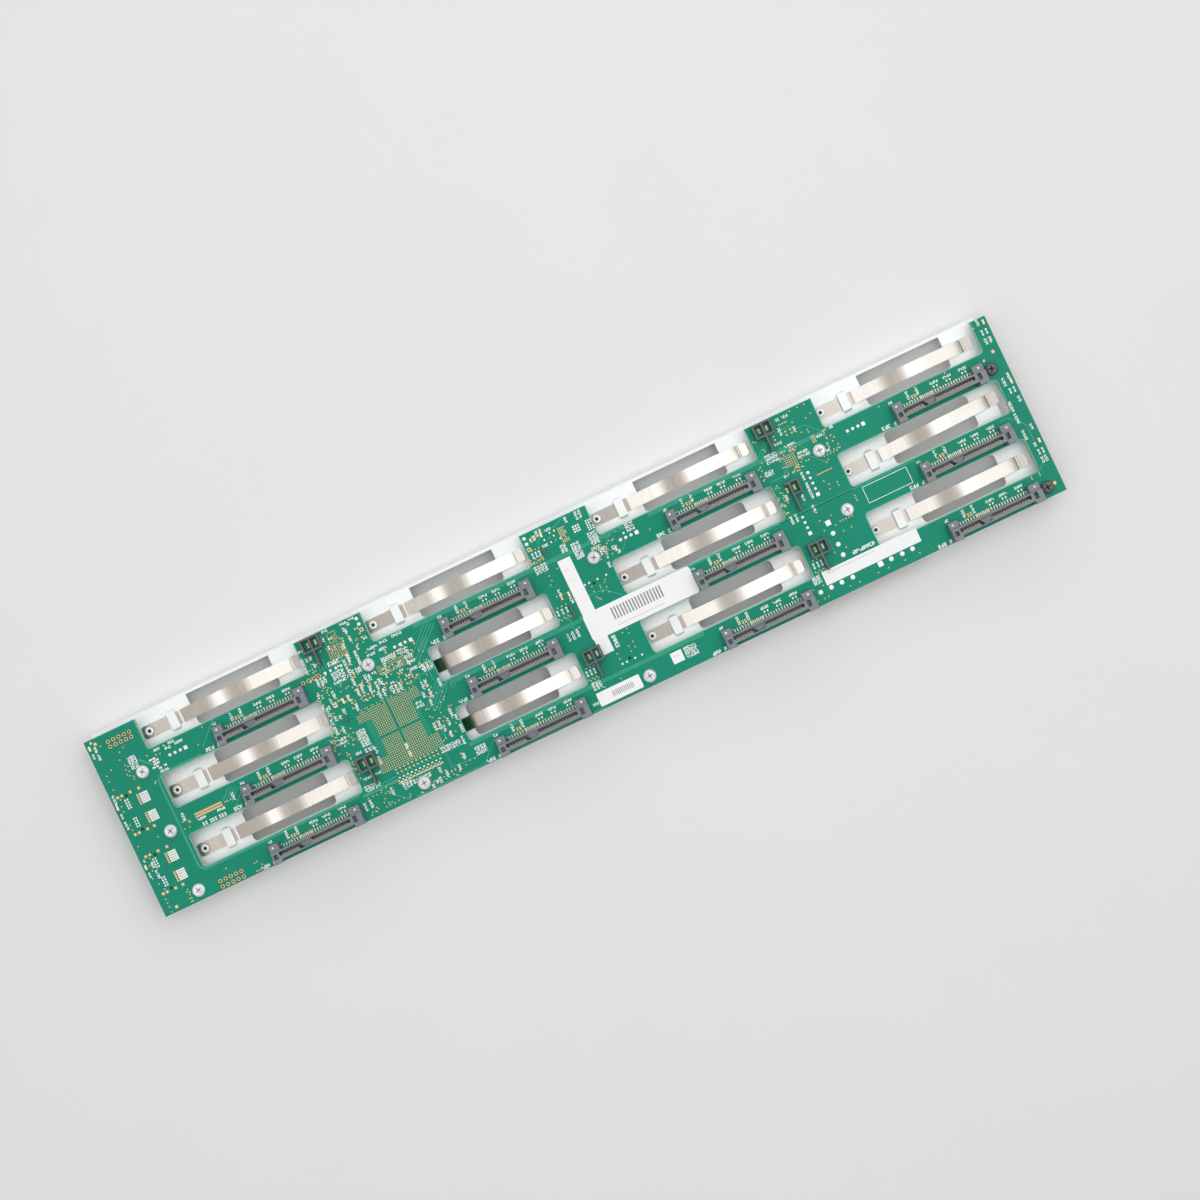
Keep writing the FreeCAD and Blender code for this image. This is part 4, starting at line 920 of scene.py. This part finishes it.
def print_middle(face):
    """The gap between the second and third columns, with its white strip and blank panels."""
    face.texts([(220.2, 2.6, 3, 0), (211.7, 3.8, 2, 1), (213.6, 3.2, 2, 1), (215.2, 2.2, 3, 1),
            (217, 1.5, 2, 1), (216.5, 8.4, 3, 0), (229, 2, 3, 1), (213.3, 29.4, 3, 1), (216.7, 34.6, 3, 1),
            (208.7, 48.7, 4, 1), (210.8, 48.7, 4, 1), (213, 48.5, 4, 1), (235.6, 18.5, 4, 0),
            (238.3, 20, 4, 0), (244.4, 24.2, 2, 1), (206.9, 79.6, 3, 0), (237.9, 27.6, 3, 1)])
    face.text(226.1, 58.6, 4, True, 1.7)
    for left, top, right, bottom, upright in ((233, 0.6, 236.6, 4.2, True),
            (221.6, 11.2, 224.6, 14.6, True), (226.3, 12.5, 230, 20, False),
            (234.6, 11.6, 238.8, 17, True), (207.5, 14.8, 213.6, 18.6, True),
            (208.6, 70.6, 213.2, 74.2, True), (250.8, 14.3, 254.8, 18.6, False),
            (251, 73.6, 256.8, 78.8, False)):
        face.block(left, top, right, bottom, upright)
    face.field(224.3, 4.3, 4, 8, 0.88, face.vias, drop=0.1)
    face.field(236.6, 6.3, 3, 5, 1.0, face.tin, drop=0.1, size=0.6)
    face.field(230.6, 6.3, 3, 3, 1.15, face.tin, size=0.75)
    for x, y in ((221.5, 4.2), (220.5, 6.1), (220.5, 8.2), (218.2, 6.1), (222.6, 8.3)):
        face.pair(x, y, gap=2.2)
    for x, y in ((209.7, 10.3), (211.3, 10.3), (212.9, 10.3), (208.9, 37.4), (211, 37.4), (213.1, 37.4),
            (209, 66.3), (210.8, 66.3), (212.6, 66.3), (317.3, 66.2), (319.2, 66.2), (321, 66.2)):
        face.pair(x, y, True, gap=1.9, body=True)
        face.vias += [(x - 0.5, y + 2.6), (x + 0.6, y - 2.3), (x + 0.3, y + 3.3)]
    for x, y in ((246.8, 20.1), (249.3, 20.1), (251.8, 20.1)):
        face.joints.append((x, y, 1.5, 0.0))
    face.tin.append((254.5, 20.1, 1.7, 1.7))
    for x, y, size in ((224.6, 31.1, 1.0), (226.6, 31.1, 1.0), (230.6, 31.1, 1.0), (234.8, 31.1, 1.0),
            (224.7, 68.8, 1.0), (226.8, 68.8, 1.0), (230.7, 68.8, 1.0), (234, 68.8, 1.0), (249.3, 18, 1.1)):
        face.joints.append((x, y, size, 0.0))
    for x, y in ((228.5, 32.0), (228.6, 67.8)):
        face.holes.append((x, y, 1.3))
    face.vias += [(227, 33), (233.6, 32.7), (232.7, 33.5), (230.4, 34.2), (230.4, 35.2), (227, 35.4),
            (232.8, 35.8), (230.4, 36.9), (227, 37.9), (232.9, 38.2), (227.6, 38.9), (228.3, 39.5),
            (212.4, 21), (212.5, 23.3), (211.2, 24.9), (211.5, 30.5), (224.5, 63.9), (224.5, 66.3),
            (230.4, 63), (230.5, 65.5), (230.4, 56.6), (232.9, 55.8), (232.9, 58), (232.9, 62),
            (232.8, 64.5), (216.8, 19.6), (219.2, 22.1), (220.8, 21.6), (219.6, 26.1), (220.8, 27.3),
            (218.6, 34.2), (218.6, 36.5), (260.2, 21.4), (213.4, 74.6), (221.4, 74.2), (214.5, 46.6)]
    face.scatter(207.8, 11.5, 214, 14.3, 14)
    face.scatter(235.5, 18, 244.5, 25, 30)
    for _ in range(9):
        face.pair(face.chance.uniform(236, 244), face.chance.uniform(20.8, 24.6), True, gap=1.0)


def print_right_gap(face):
    """The gap between the last two columns, with the solder joints of the rear power sockets."""
    face.field(325.4, 18.2, 6, 6, 0.92, face.fine)
    face.scatter(323.6, 15.2, 332.2, 17.6, 18)
    face.scatter(323.6, 23.4, 332.2, 26.2, 18)
    face.scatter(331.0, 17.0, 332.8, 23.4, 9)
    face.scatter(323.2, 17.5, 324.6, 23.4, 8)
    face.scatter(315.6, 27.5, 319.2, 41, 26)
    face.scatter(312.2, 17.5, 315.6, 24, 9)
    face.scatter(344.8, 14.5, 349.8, 24.5, 20)
    for y, size in ((28.6, 1.5), (31.1, 1.3), (33.6, 1.3), (36.2, 1.3)):
        face.joints.append((332.2, y, size, 0.0))
    face.tin.append((332.2, 38.8, 1.6, 1.6))
    for y in (45.0, 47.5, 50.0):
        face.joints.append((321.9, y, 1.3, 0.0))
    face.tin.append((321.9, 52.6, 1.6, 1.6))
    for x, y in ((330.8, 56.9), (330.8, 62.1), (330.8, 67.1), (315.1, 77.6), (320.2, 77.6), (325.2, 77.6),
            (330.4, 77.6), (348.8, 77.6), (354.0, 77.6), (358.9, 77.6)):
        face.joints.append((x, y, 2.1, 0.0))
    face.tin += [(330.8, 51.9, 2.3, 2.3), (343.7, 77.6, 2.3, 2.3)]
    face.texts([(330, 2.3, 2, 0), (333.4, 2.3, 3, 0), (328.9, 7.5, 4, 1), (335, 9.2, 3, 1),
            (326, 11.8, 4, 0), (331, 14.4, 4, 0), (328.2, 14.4, 1, 0), (329.6, 29, 4, 1),
            (329.6, 35.8, 8, 1), (328, 44, 4, 1), (317.2, 44.2, 4, 1), (319.5, 44.2, 4, 1),
            (319.3, 34.6, 3, 1), (334, 19.4, 5, 0), (334, 21, 6, 0), (343.4, 16.2, 3, 0),
            (344.4, 23.6, 2, 0), (349.6, 15, 2, 0), (325.8, 37.4, 3, 1), (323, 26, 2, 0)])
    face.text(340, 68.1, 8, tall=1.6)
    for left, top, right, bottom in ((318, 14, 323.6, 18.4), (315, 20.6, 319.2, 23), (313.8, 70.4, 318, 74)):
        face.block(left, top, right, bottom, False)
    for x, y in ((331, 9.2), (333.3, 9.2), (325.5, 9.0)):
        face.pair(x, y, True, "gold", gap=1.6)
    for step in range(8):
        face.vias.append((335.7 + 0.92*step, 31.2))
    for step in range(5):
        face.vias.append((335.8 + 1.4*step, 53.5))
        face.vias.append((329.6 + 0.9*step, 4.7))
    face.vias += [(336.4, 1.2), (340.1, 1.2), (343.3, 1.2), (344.2, 5.8), (341.5, 6.9), (335.4, 6.1),
            (316.5, 6.6), (317.4, 7.2), (319, 11.4), (319.6, 12.4), (316, 16.5), (337.2, 11.7),
            (339.9, 11.6), (340, 12.8), (336.9, 34.8), (338.3, 37), (337.8, 39), (342, 37.6), (342, 39),
            (342.6, 27.2), (341.5, 28), (333.8, 23.6), (335.1, 23.7), (341.7, 25.2), (343.2, 25.2),
            (344.7, 25.2), (346.2, 25.2), (347.7, 25.2), (346.3, 46.1), (346.3, 47.2), (346.3, 48.3),
            (327.9, 49.6), (333.4, 49.5), (327.9, 54.3), (333.4, 54.2), (335.4, 57.8), (339.2, 57.8),
            (333.4, 64.7), (327.9, 64.7), (312.5, 75.4), (317.4, 75.4), (312.5, 80.7), (315.6, 80.8),
            (317.5, 80.6), (327.9, 80.6), (332.4, 80.7), (341.2, 80.6), (346.2, 80.6), (354, 80.6),
            (361, 80.6)]
    for x in (340.2, 341.2):
        for row in range(4):
            face.gold.append((x, 15.2 + 0.85*row, 0.6, 0.5))


def print_right_end(face):
    """The board's right end: lamp chips and upright print."""
    face.texts([(425.9, 1.6, 3, 1), (425.9, 10.4, 3, 1), (428.0, 10.4, 3, 1), (425.4, 29.6, 4, 1),
            (428.2, 27.8, 3, 1), (428.3, 38.8, 3, 1), (423.6, 40.5, 5, 1), (423.6, 46.2, 5, 1),
            (423.6, 54.0, 5, 1), (427.9, 51.8, 3, 1), (426.2, 66.8, 3, 1), (427.8, 66.8, 3, 1),
            (421.4, 17.5, 1, 0), (425.9, 59.6, 2, 1)])
    for x, y in ((426, 6.4), (428, 6.4), (426.2, 34.2), (428.1, 34.2), (426.1, 63.2), (428.0, 63.2)):
        face.pair(x, y, True, gap=1.8, body=True)
    face.vias += [(423.4, 3.1), (418.4, 71.6), (418.4, 72.6), (422.2, 71.6), (422.2, 72.6), (404, 15.0),
            (372, 16.0)]


def lines_between(left, right, y, count, gap=0.42):
    """Parallel level traces."""
    return [[(left, y + gap*index), (right, y + gap*index)] for index in range(count)]


def slanted(x, y, reach, count, gap=1.15):
    """Parallel traces that run up to the right at 45 degrees."""
    return [[(x + gap*index, y + gap*index*0.62), (x + gap*index + reach, y + gap*index*0.62 - reach)]
            for index in range(count)]


def lay_traces(face):
    """The traces that show as paler lines under the mask."""
    paths = face.covered
    for left, right in ((150, 252), (262, 345)):
        paths += lines_between(left, right, 14.9, 3, 0.6)
    paths += lines_between(150, 217.4, 43.5, 3, 0.6) + lines_between(150, 262, 71.3, 3, 0.6)
    paths += lines_between(312, 376, 43.4, 1) + lines_between(262, 346, 43.0, 2)
    paths += lines_between(99, 116, 72.2, 3) + lines_between(120, 210, 82.4, 1)
    for x, y, reach, count in ((146.3, 24.7, 9.0, 4), (139.8, 50.2, 9.6, 5), (144.5, 29.5, 7.5, 2),
            (152, 45.6, 4.6, 3), (153, 82.0, 7.5, 1), (45.6, 23.8, 9.5, 1), (43.6, 48.4, 4.8, 4),
            (47.2, 53.2, 7.0, 1), (315, 14.4, 6.0, 2), (118, 74, 4, 2)):
        paths += slanted(x, y, reach, count)
    paths.append([(22.0, 69.6), (22.0, 28.4), (24.4, 26.0), (44.0, 26.0)])
    paths.append([(22.5, 69.4), (22.5, 28.7), (24.7, 26.5), (43.4, 26.5)])
    paths.append([(22.0, 69.6), (24.2, 71.8), (98, 71.8)])
    paths.append([(22.5, 69.4), (24.4, 71.3), (97.6, 71.3)])
    paths += [[(18.5, 16.9), (23.6, 22.0)], [(18.8, 16.6), (23.9, 21.7)]]
    paths.append([(94, 54), (97, 54), (100.6, 57), (104, 57)])
    paths += [[(141.5, 35.7), (151, 35.7)], [(139.8, 37.4), (141.5, 35.7)], [(148, 30), (148, 40)],
            [(143, 35.7), (143, 40)], [(142.3, 60), (142.3, 66)], [(109.5, 70.9), (116, 70.9)],
            [(109.2, 71), (109.2, 75), (117, 82.4)], [(139.4, 71), (139.4, 77.8), (151, 77.8)]]
    paths += [[(324.4, 26), (324.4, 15), (325.2, 14.2), (331, 14.2), (335, 17.4), (335, 21.4), (341.5, 27.8)],
              [(316, 25.6), (322, 25.6), (324.4, 23.4)],
              [(335.8, 9.2), (339.6, 9.2), (345, 14.6), (376, 14.6)],
              [(323, 7.0), (334, 7.0)], [(327.9, 58), (327.9, 64.6)], [(324.2, 40.6), (326, 39)]]
    paths += [[(416, 44.2), (420, 44.2), (424, 47.8), (426.4, 50.6), (426.2, 58.6)],
            [(422.6, 71), (426.6, 67)], [(241, 16.9), (250.6, 14.9)], [(246, 24.6), (249.2, 20.6)],
            [(224, 36.2), (231, 36.2), (237.5, 42)], [(217, 2.6), (224, 2.6), (228, 0.6)],
            [(213.4, 6.6), (216.6, 3.4)], [(213, 30.7), (216.4, 30.7)], [(212.2, 38.6), (212.2, 46.6)],
            [(217.4, 42.4), (215.6, 44.2)]]
    for step in range(9):
        paths.append([(109.6 + 0.85*step, 13.4), (109.6 + 0.85*step, 16.4)])
    for step in range(5):
        paths.append([(102.8 + 1.45*step, 10.5), (102.8 + 1.45*step, 15.8)])
    return paths


def window_rims():
    """A bright line of bare edging just outside every board window."""
    rims = []
    for column, row in drive_places():
        start = SHORT_START if (column, row) in SHORT_WINDOWS else 0.0
        left, right, top, bottom, turn = start - 0.2, 76.0, -0.2, 15.6, 1.6
        corner = [from_window(column, row, *p) for p in (
            (left, 1.5 if row == 1 else top + turn), (left, bottom - turn),
            (left + turn*0.3, bottom - turn*0.3),
            (left + turn, bottom), (right - turn, bottom), (right - turn*0.3, bottom - turn*0.3),
            (right, bottom - turn), (right, 1.5 if row == 1 else top + turn))]
        if row > 1:
            corner += [from_window(column, row, *p) for p in (
                (right - turn*0.3, top + turn*0.3), (right - turn, top), (left + turn, top),
                (left + turn*0.3, top + turn*0.3), (left, top + turn))]
        rims.append([((p.x - BOARD_LOW.x)/MM, (BOARD_HIGH.y - p.y)/MM) for p in corner])
    return rims


def paths_mesh(name, paths, lift):
    """Edges along each path of board places."""
    mesh = bpy.data.meshes.new(name)
    points, edges = [], []
    for path in paths:
        first = len(points)
        points += [tuple(spot(x, y, lift)) for x, y in path]
        edges += [(first + i, first + i + 1) for i in range(len(path) - 1)]
    mesh.from_pydata(points, edges, [])
    return mesh


def flat_blocks(name, items, material, lift, height):
    """Thin blocks on the board, each x, y, width, depth."""
    places = [spot(x, y, lift + height/2) for x, y, wide, deep in items]
    sizes = [(wide, deep, 1.0) for x, y, wide, deep in items]
    return repeat(name, "block", places, material, stretches=sizes, length=MM, width=MM, height=height*MM)


class BACKPLANE_OT_print(bpy.types.Operator):
    """Print, pads, vias, joints and traces on the seen face."""
    bl_idname = "backplane.print"
    bl_label = "Print and pads"

    def execute(self, context):
        look = context.scene.backplane_board
        face = FacePrint(context.scene.backplane_stage.seed)
        for fill in (print_drive_places, print_left_end, print_chip_field, print_middle, print_right_gap,
                     print_right_end):
            fill(face)
        ink = finish("White ink", look.ink, tone=0.06, grain=1500.0, rough=0.6, bump=0.05)[0]
        gold = finish("Plated copper", look.plating, tone=0.12, grain=1200.0, rough=0.38, metallic=0.35,
                      bump=0.05)[0]
        tin = finish("Solder", look.solder, tone=0.12, grain=900.0, rough=0.35, metallic=0.4, bump=0.15)[0]
        paler = finish("Mask over copper", look.mask_over_copper, tone=0.08, grain=900.0, rough=0.32,
                       bump=0.05)[0]
        dark = finish("Painted hole shade", (0.012, 0.013, 0.010), tone=0.3, grain=900.0, rough=0.7)[0]
        body = finish("Chip body", (0.42, 0.60, 0.66), tone=0.12, grain=900.0, rough=0.4)[0]
        for name, items, material, lift, height in (
                ("printed_marks", face.marks, ink, 0.03, 0.03), ("gold_pads", face.gold, gold, 0.02, 0.05),
                ("tinned_pads", face.tin, tin, 0.02, 0.08), ("chip_bodies", face.bodies, body, 0.02, 0.40)):
            settle(flat_blocks(name, items, material, lift, height), "board")
        for name, items, width, sides in (("vias", face.vias, look.via_width, 8),
                                          ("fine_vias", face.fine, look.fine_via, 6)):
            places = [spot(x, y, 0.045) for x, y in items]
            settle(repeat(name, "disc", places, gold, length=width, height=0.04*MM, sides=sides), "board")
        places = [spot(x, y, 0.05) for x, y in face.rings]
        settle(repeat("plated_rings", "ring", places, gold, length=1.75*MM, width=0.42*MM, height=0.06*MM,
                      sides=16), "board")
        # near-black discs over the drilled holes and the ring middles: painted shade in the holes
        wells = [(x, y, 0.9) for x, y in face.rings] + face.holes
        places = [spot(x, y, 0.06) for x, y, size in wells]
        sizes = [(size, size, 1.0) for x, y, size in wells]
        settle(repeat("drilled_holes", "disc", places, dark, stretches=sizes, length=MM, height=0.06*MM,
                      sides=14), "board")
        places = [spot(x, y, lift) for x, y, size, lift in face.joints]
        sizes = [(size, size, 0.35) for x, y, size, lift in face.joints]
        settle(repeat("solder_joints", "dome", places, tin, stretches=sizes, length=MM, sides=12), "board")
        ribbons = grow("covered_traces", paths_mesh("covered_traces", lay_traces(face), 0.0), trace_tree(),
                       {"Width": look.trace_width, "Height": 0.03*MM, "Finish": paler})
        settle(ribbons, "board")
        edging = finish("Window edging", (0.20, 0.62, 0.42), tone=0.08, grain=900.0, rough=0.35)[0]
        rims = grow("window_rims", paths_mesh("window_rims", window_rims(), 0.0), trace_tree(),
                    {"Width": 0.30*MM, "Height": 0.04*MM, "Finish": edging})
        settle(rims, "board")
        return {"FINISHED"}


class BACKPLANE_OT_panels(bpy.types.Operator):
    """White printed panels, and the bars on the two paper labels."""
    bl_idname = "backplane.panels"
    bl_label = "Panels and labels"

    def execute(self, context):
        white = finish("Panel ink", (0.90, 0.91, 0.90), tone=0.03, grain=900.0, rough=0.6)[0]
        paper = finish("Label paper", (0.92, 0.92, 0.91), tone=0.02, grain=500.0, rough=0.7)[0]
        grey = finish("Grey print", (0.30, 0.30, 0.31), tone=0.08, grain=900.0, rough=0.65)[0]
        faint = finish("Faint print", (0.66, 0.66, 0.66), tone=0.05, grain=900.0, rough=0.65)[0]
        panels = [(221.0, 39.5, 6.0, 45.0), (341.4, 73.1, 45.0, 6.2), (247.4, 76.2, 5.2, 5.0)]
        settle(flat_blocks("white_panels", panels, white, 0.01, 0.025), "board")
        wear(["centre_label", "lower_label"], paper)
        top = (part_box("centre_label")[1].z - BOARD_HIGH.z)/MM
        bars = [(230.4 + 1.42*step, 47.5, 0.72, 5.4) for step in range(17)]
        bars += [(215.6 + 0.78*step, 78.6, 0.36, 2.6) for step in range(13)]
        settle(flat_blocks("label_bars", bars, grey, top, 0.02), "label_paper")
        outline = [(361, y, 21, 0.25) for y in (44.4, 51.8)] + [(x, 48.1, 0.25, 7.5) for x in (350.6, 371.4)]
        settle(flat_blocks("blank_box", outline, white, 0.01, 0.025), "board")
        lines = [(231.0 + 1.3*step, 52.8, 0.9, 0.55) for step in range(17)]
        lines += [(322.0 + 1.6*step, 71.4, 1.1, 0.5) for step in range(14)]
        lines += [(246.2 + 0.9*step, 75.6, 0.6, 0.5) for step in range(3)]
        settle(flat_blocks("faint_lines", lines, faint, top, 0.02), "label_paper")
        return {"FINISHED"}


class BACKPLANE_OT_stage(bpy.types.Operator):
    """Plain pale floor, soft lamps and the camera above the part."""
    bl_idname = "backplane.stage"
    bl_label = "Stage"

    def execute(self, context):
        look = context.scene.backplane_stage
        floor_mesh = bpy.data.meshes.new("floor")
        corners = [(x*FLOOR_REACH, y*FLOOR_REACH, 0) for x, y in ((-1, -1), (1, -1), (1, 1), (-1, 1))]
        floor_mesh.from_pydata(corners, [], [(0, 1, 2, 3)])
        floor = show(floor_mesh, "floor")
        cover = finish("Floor", look.floor, tone=0.01, grain=3.0, rough=0.75, bump=0.0)[0]
        floor.data.materials.append(cover)
        camera = bpy.data.cameras.new("Camera")
        camera.lens = look.lens
        camera.sensor_width = SENSOR_WIDTH
        camera.clip_end = FAR_CLIP
        viewer = bpy.data.objects.new("Camera", camera)
        context.scene.collection.objects.link(viewer)
        across, along, over = CAMERA_PLACE
        viewer.location = (across, along, BOARD_HIGH.z + over)
        viewer.rotation_euler = (0.0, 0.0, math.radians(CAMERA_TURN))
        context.scene.camera = viewer
        for name, place, size, share in SOFT_LIGHTS:
            lamp = self.add_panel(context, name, place, size, look.panel_power*share)
            lamp.visible_glossy = name == "back_light"
        for name, place, size, share in SHOWN_PANELS:
            lamp = self.add_panel(context, name, place, size, look.panel_power*share)
            lamp.visible_diffuse = False
        self.fill_world(context)
        context.scene.view_settings.view_transform = "Standard"
        return {"FINISHED"}

    def add_panel(self, context, name, place, size, power):
        """An area lamp of this size, facing the middle of the part; returns its holder."""
        lamp = bpy.data.lights.new(name, "AREA")
        lamp.shape = "RECTANGLE"
        lamp.size, lamp.size_y = size
        lamp.energy = power
        holder = bpy.data.objects.new(name, lamp)
        context.scene.collection.objects.link(holder)
        holder.location = place
        holder.rotation_euler = (-Vector(place)).to_track_quat("-Z", "Y").to_euler()
        return holder

    def fill_world(self, context):
        """Neutral fill for matt faces, warm dim surroundings for metal, pale where the camera looks."""
        world = bpy.data.worlds.new("World")
        world.use_nodes = True
        tree = world.node_tree
        tree.nodes.clear()
        rays = node(tree, "ShaderNodeLightPath")
        fill, room, pale = (
            node(tree, "ShaderNodeBackground", {"Color": tone, "Strength": strength}).outputs[0]
            for tone, strength in SURROUNDINGS)
        shown = node(tree, "ShaderNodeMixShader", {0: rays.outputs["Is Glossy Ray"], 1: fill, 2: room})
        seen = node(tree, "ShaderNodeMixShader", {
            0: rays.outputs["Is Camera Ray"], 1: shown.outputs[0], 2: pale})
        node(tree, "ShaderNodeOutputWorld", {"Surface": seen.outputs[0]})
        context.scene.world = world


OPERATORS = (
    BACKPLANE_OT_board,
    BACKPLANE_OT_print,
    BACKPLANE_OT_panels,
    BACKPLANE_OT_metal,
    BACKPLANE_OT_fasteners,
    BACKPLANE_OT_mouldings,
    BACKPLANE_OT_contacts,
    BACKPLANE_OT_stage,
)


class BACKPLANE_PT_panel(bpy.types.Panel):
    """Lists the operators that dress the board."""
    bl_idname = "BACKPLANE_PT_panel"
    bl_label = "Drive backplane"
    bl_space_type = "VIEW_3D"
    bl_region_type = "UI"
    bl_category = "Backplane"

    def draw(self, context):
        for operator in OPERATORS:
            self.layout.operator(operator.bl_idname)


SETTINGS = {
    "backplane_board": BoardSettings,
    "backplane_metal": MetalSettings,
    "backplane_socket": SocketSettings,
    "backplane_stage": StageSettings,
}


def register():
    """Register the settings, operators and panel."""
    for name, group in SETTINGS.items():
        bpy.utils.register_class(group)
        setattr(bpy.types.Scene, name, PointerProperty(type=group))
    for operator in OPERATORS:
        bpy.utils.register_class(operator)
    bpy.utils.register_class(BACKPLANE_PT_panel)


def unregister():
    """Take the panel, operators and settings out again."""
    bpy.utils.unregister_class(BACKPLANE_PT_panel)
    for operator in reversed(OPERATORS):
        bpy.utils.unregister_class(operator)
    for name, group in SETTINGS.items():
        delattr(bpy.types.Scene, name)
        bpy.utils.unregister_class(group)


def main():
    """Dress the part."""
    register()
    for operator in OPERATORS:
        group, action = operator.bl_idname.split(".")
        getattr(getattr(bpy.ops, group), action)()


if __name__ == "__main__":
    main()
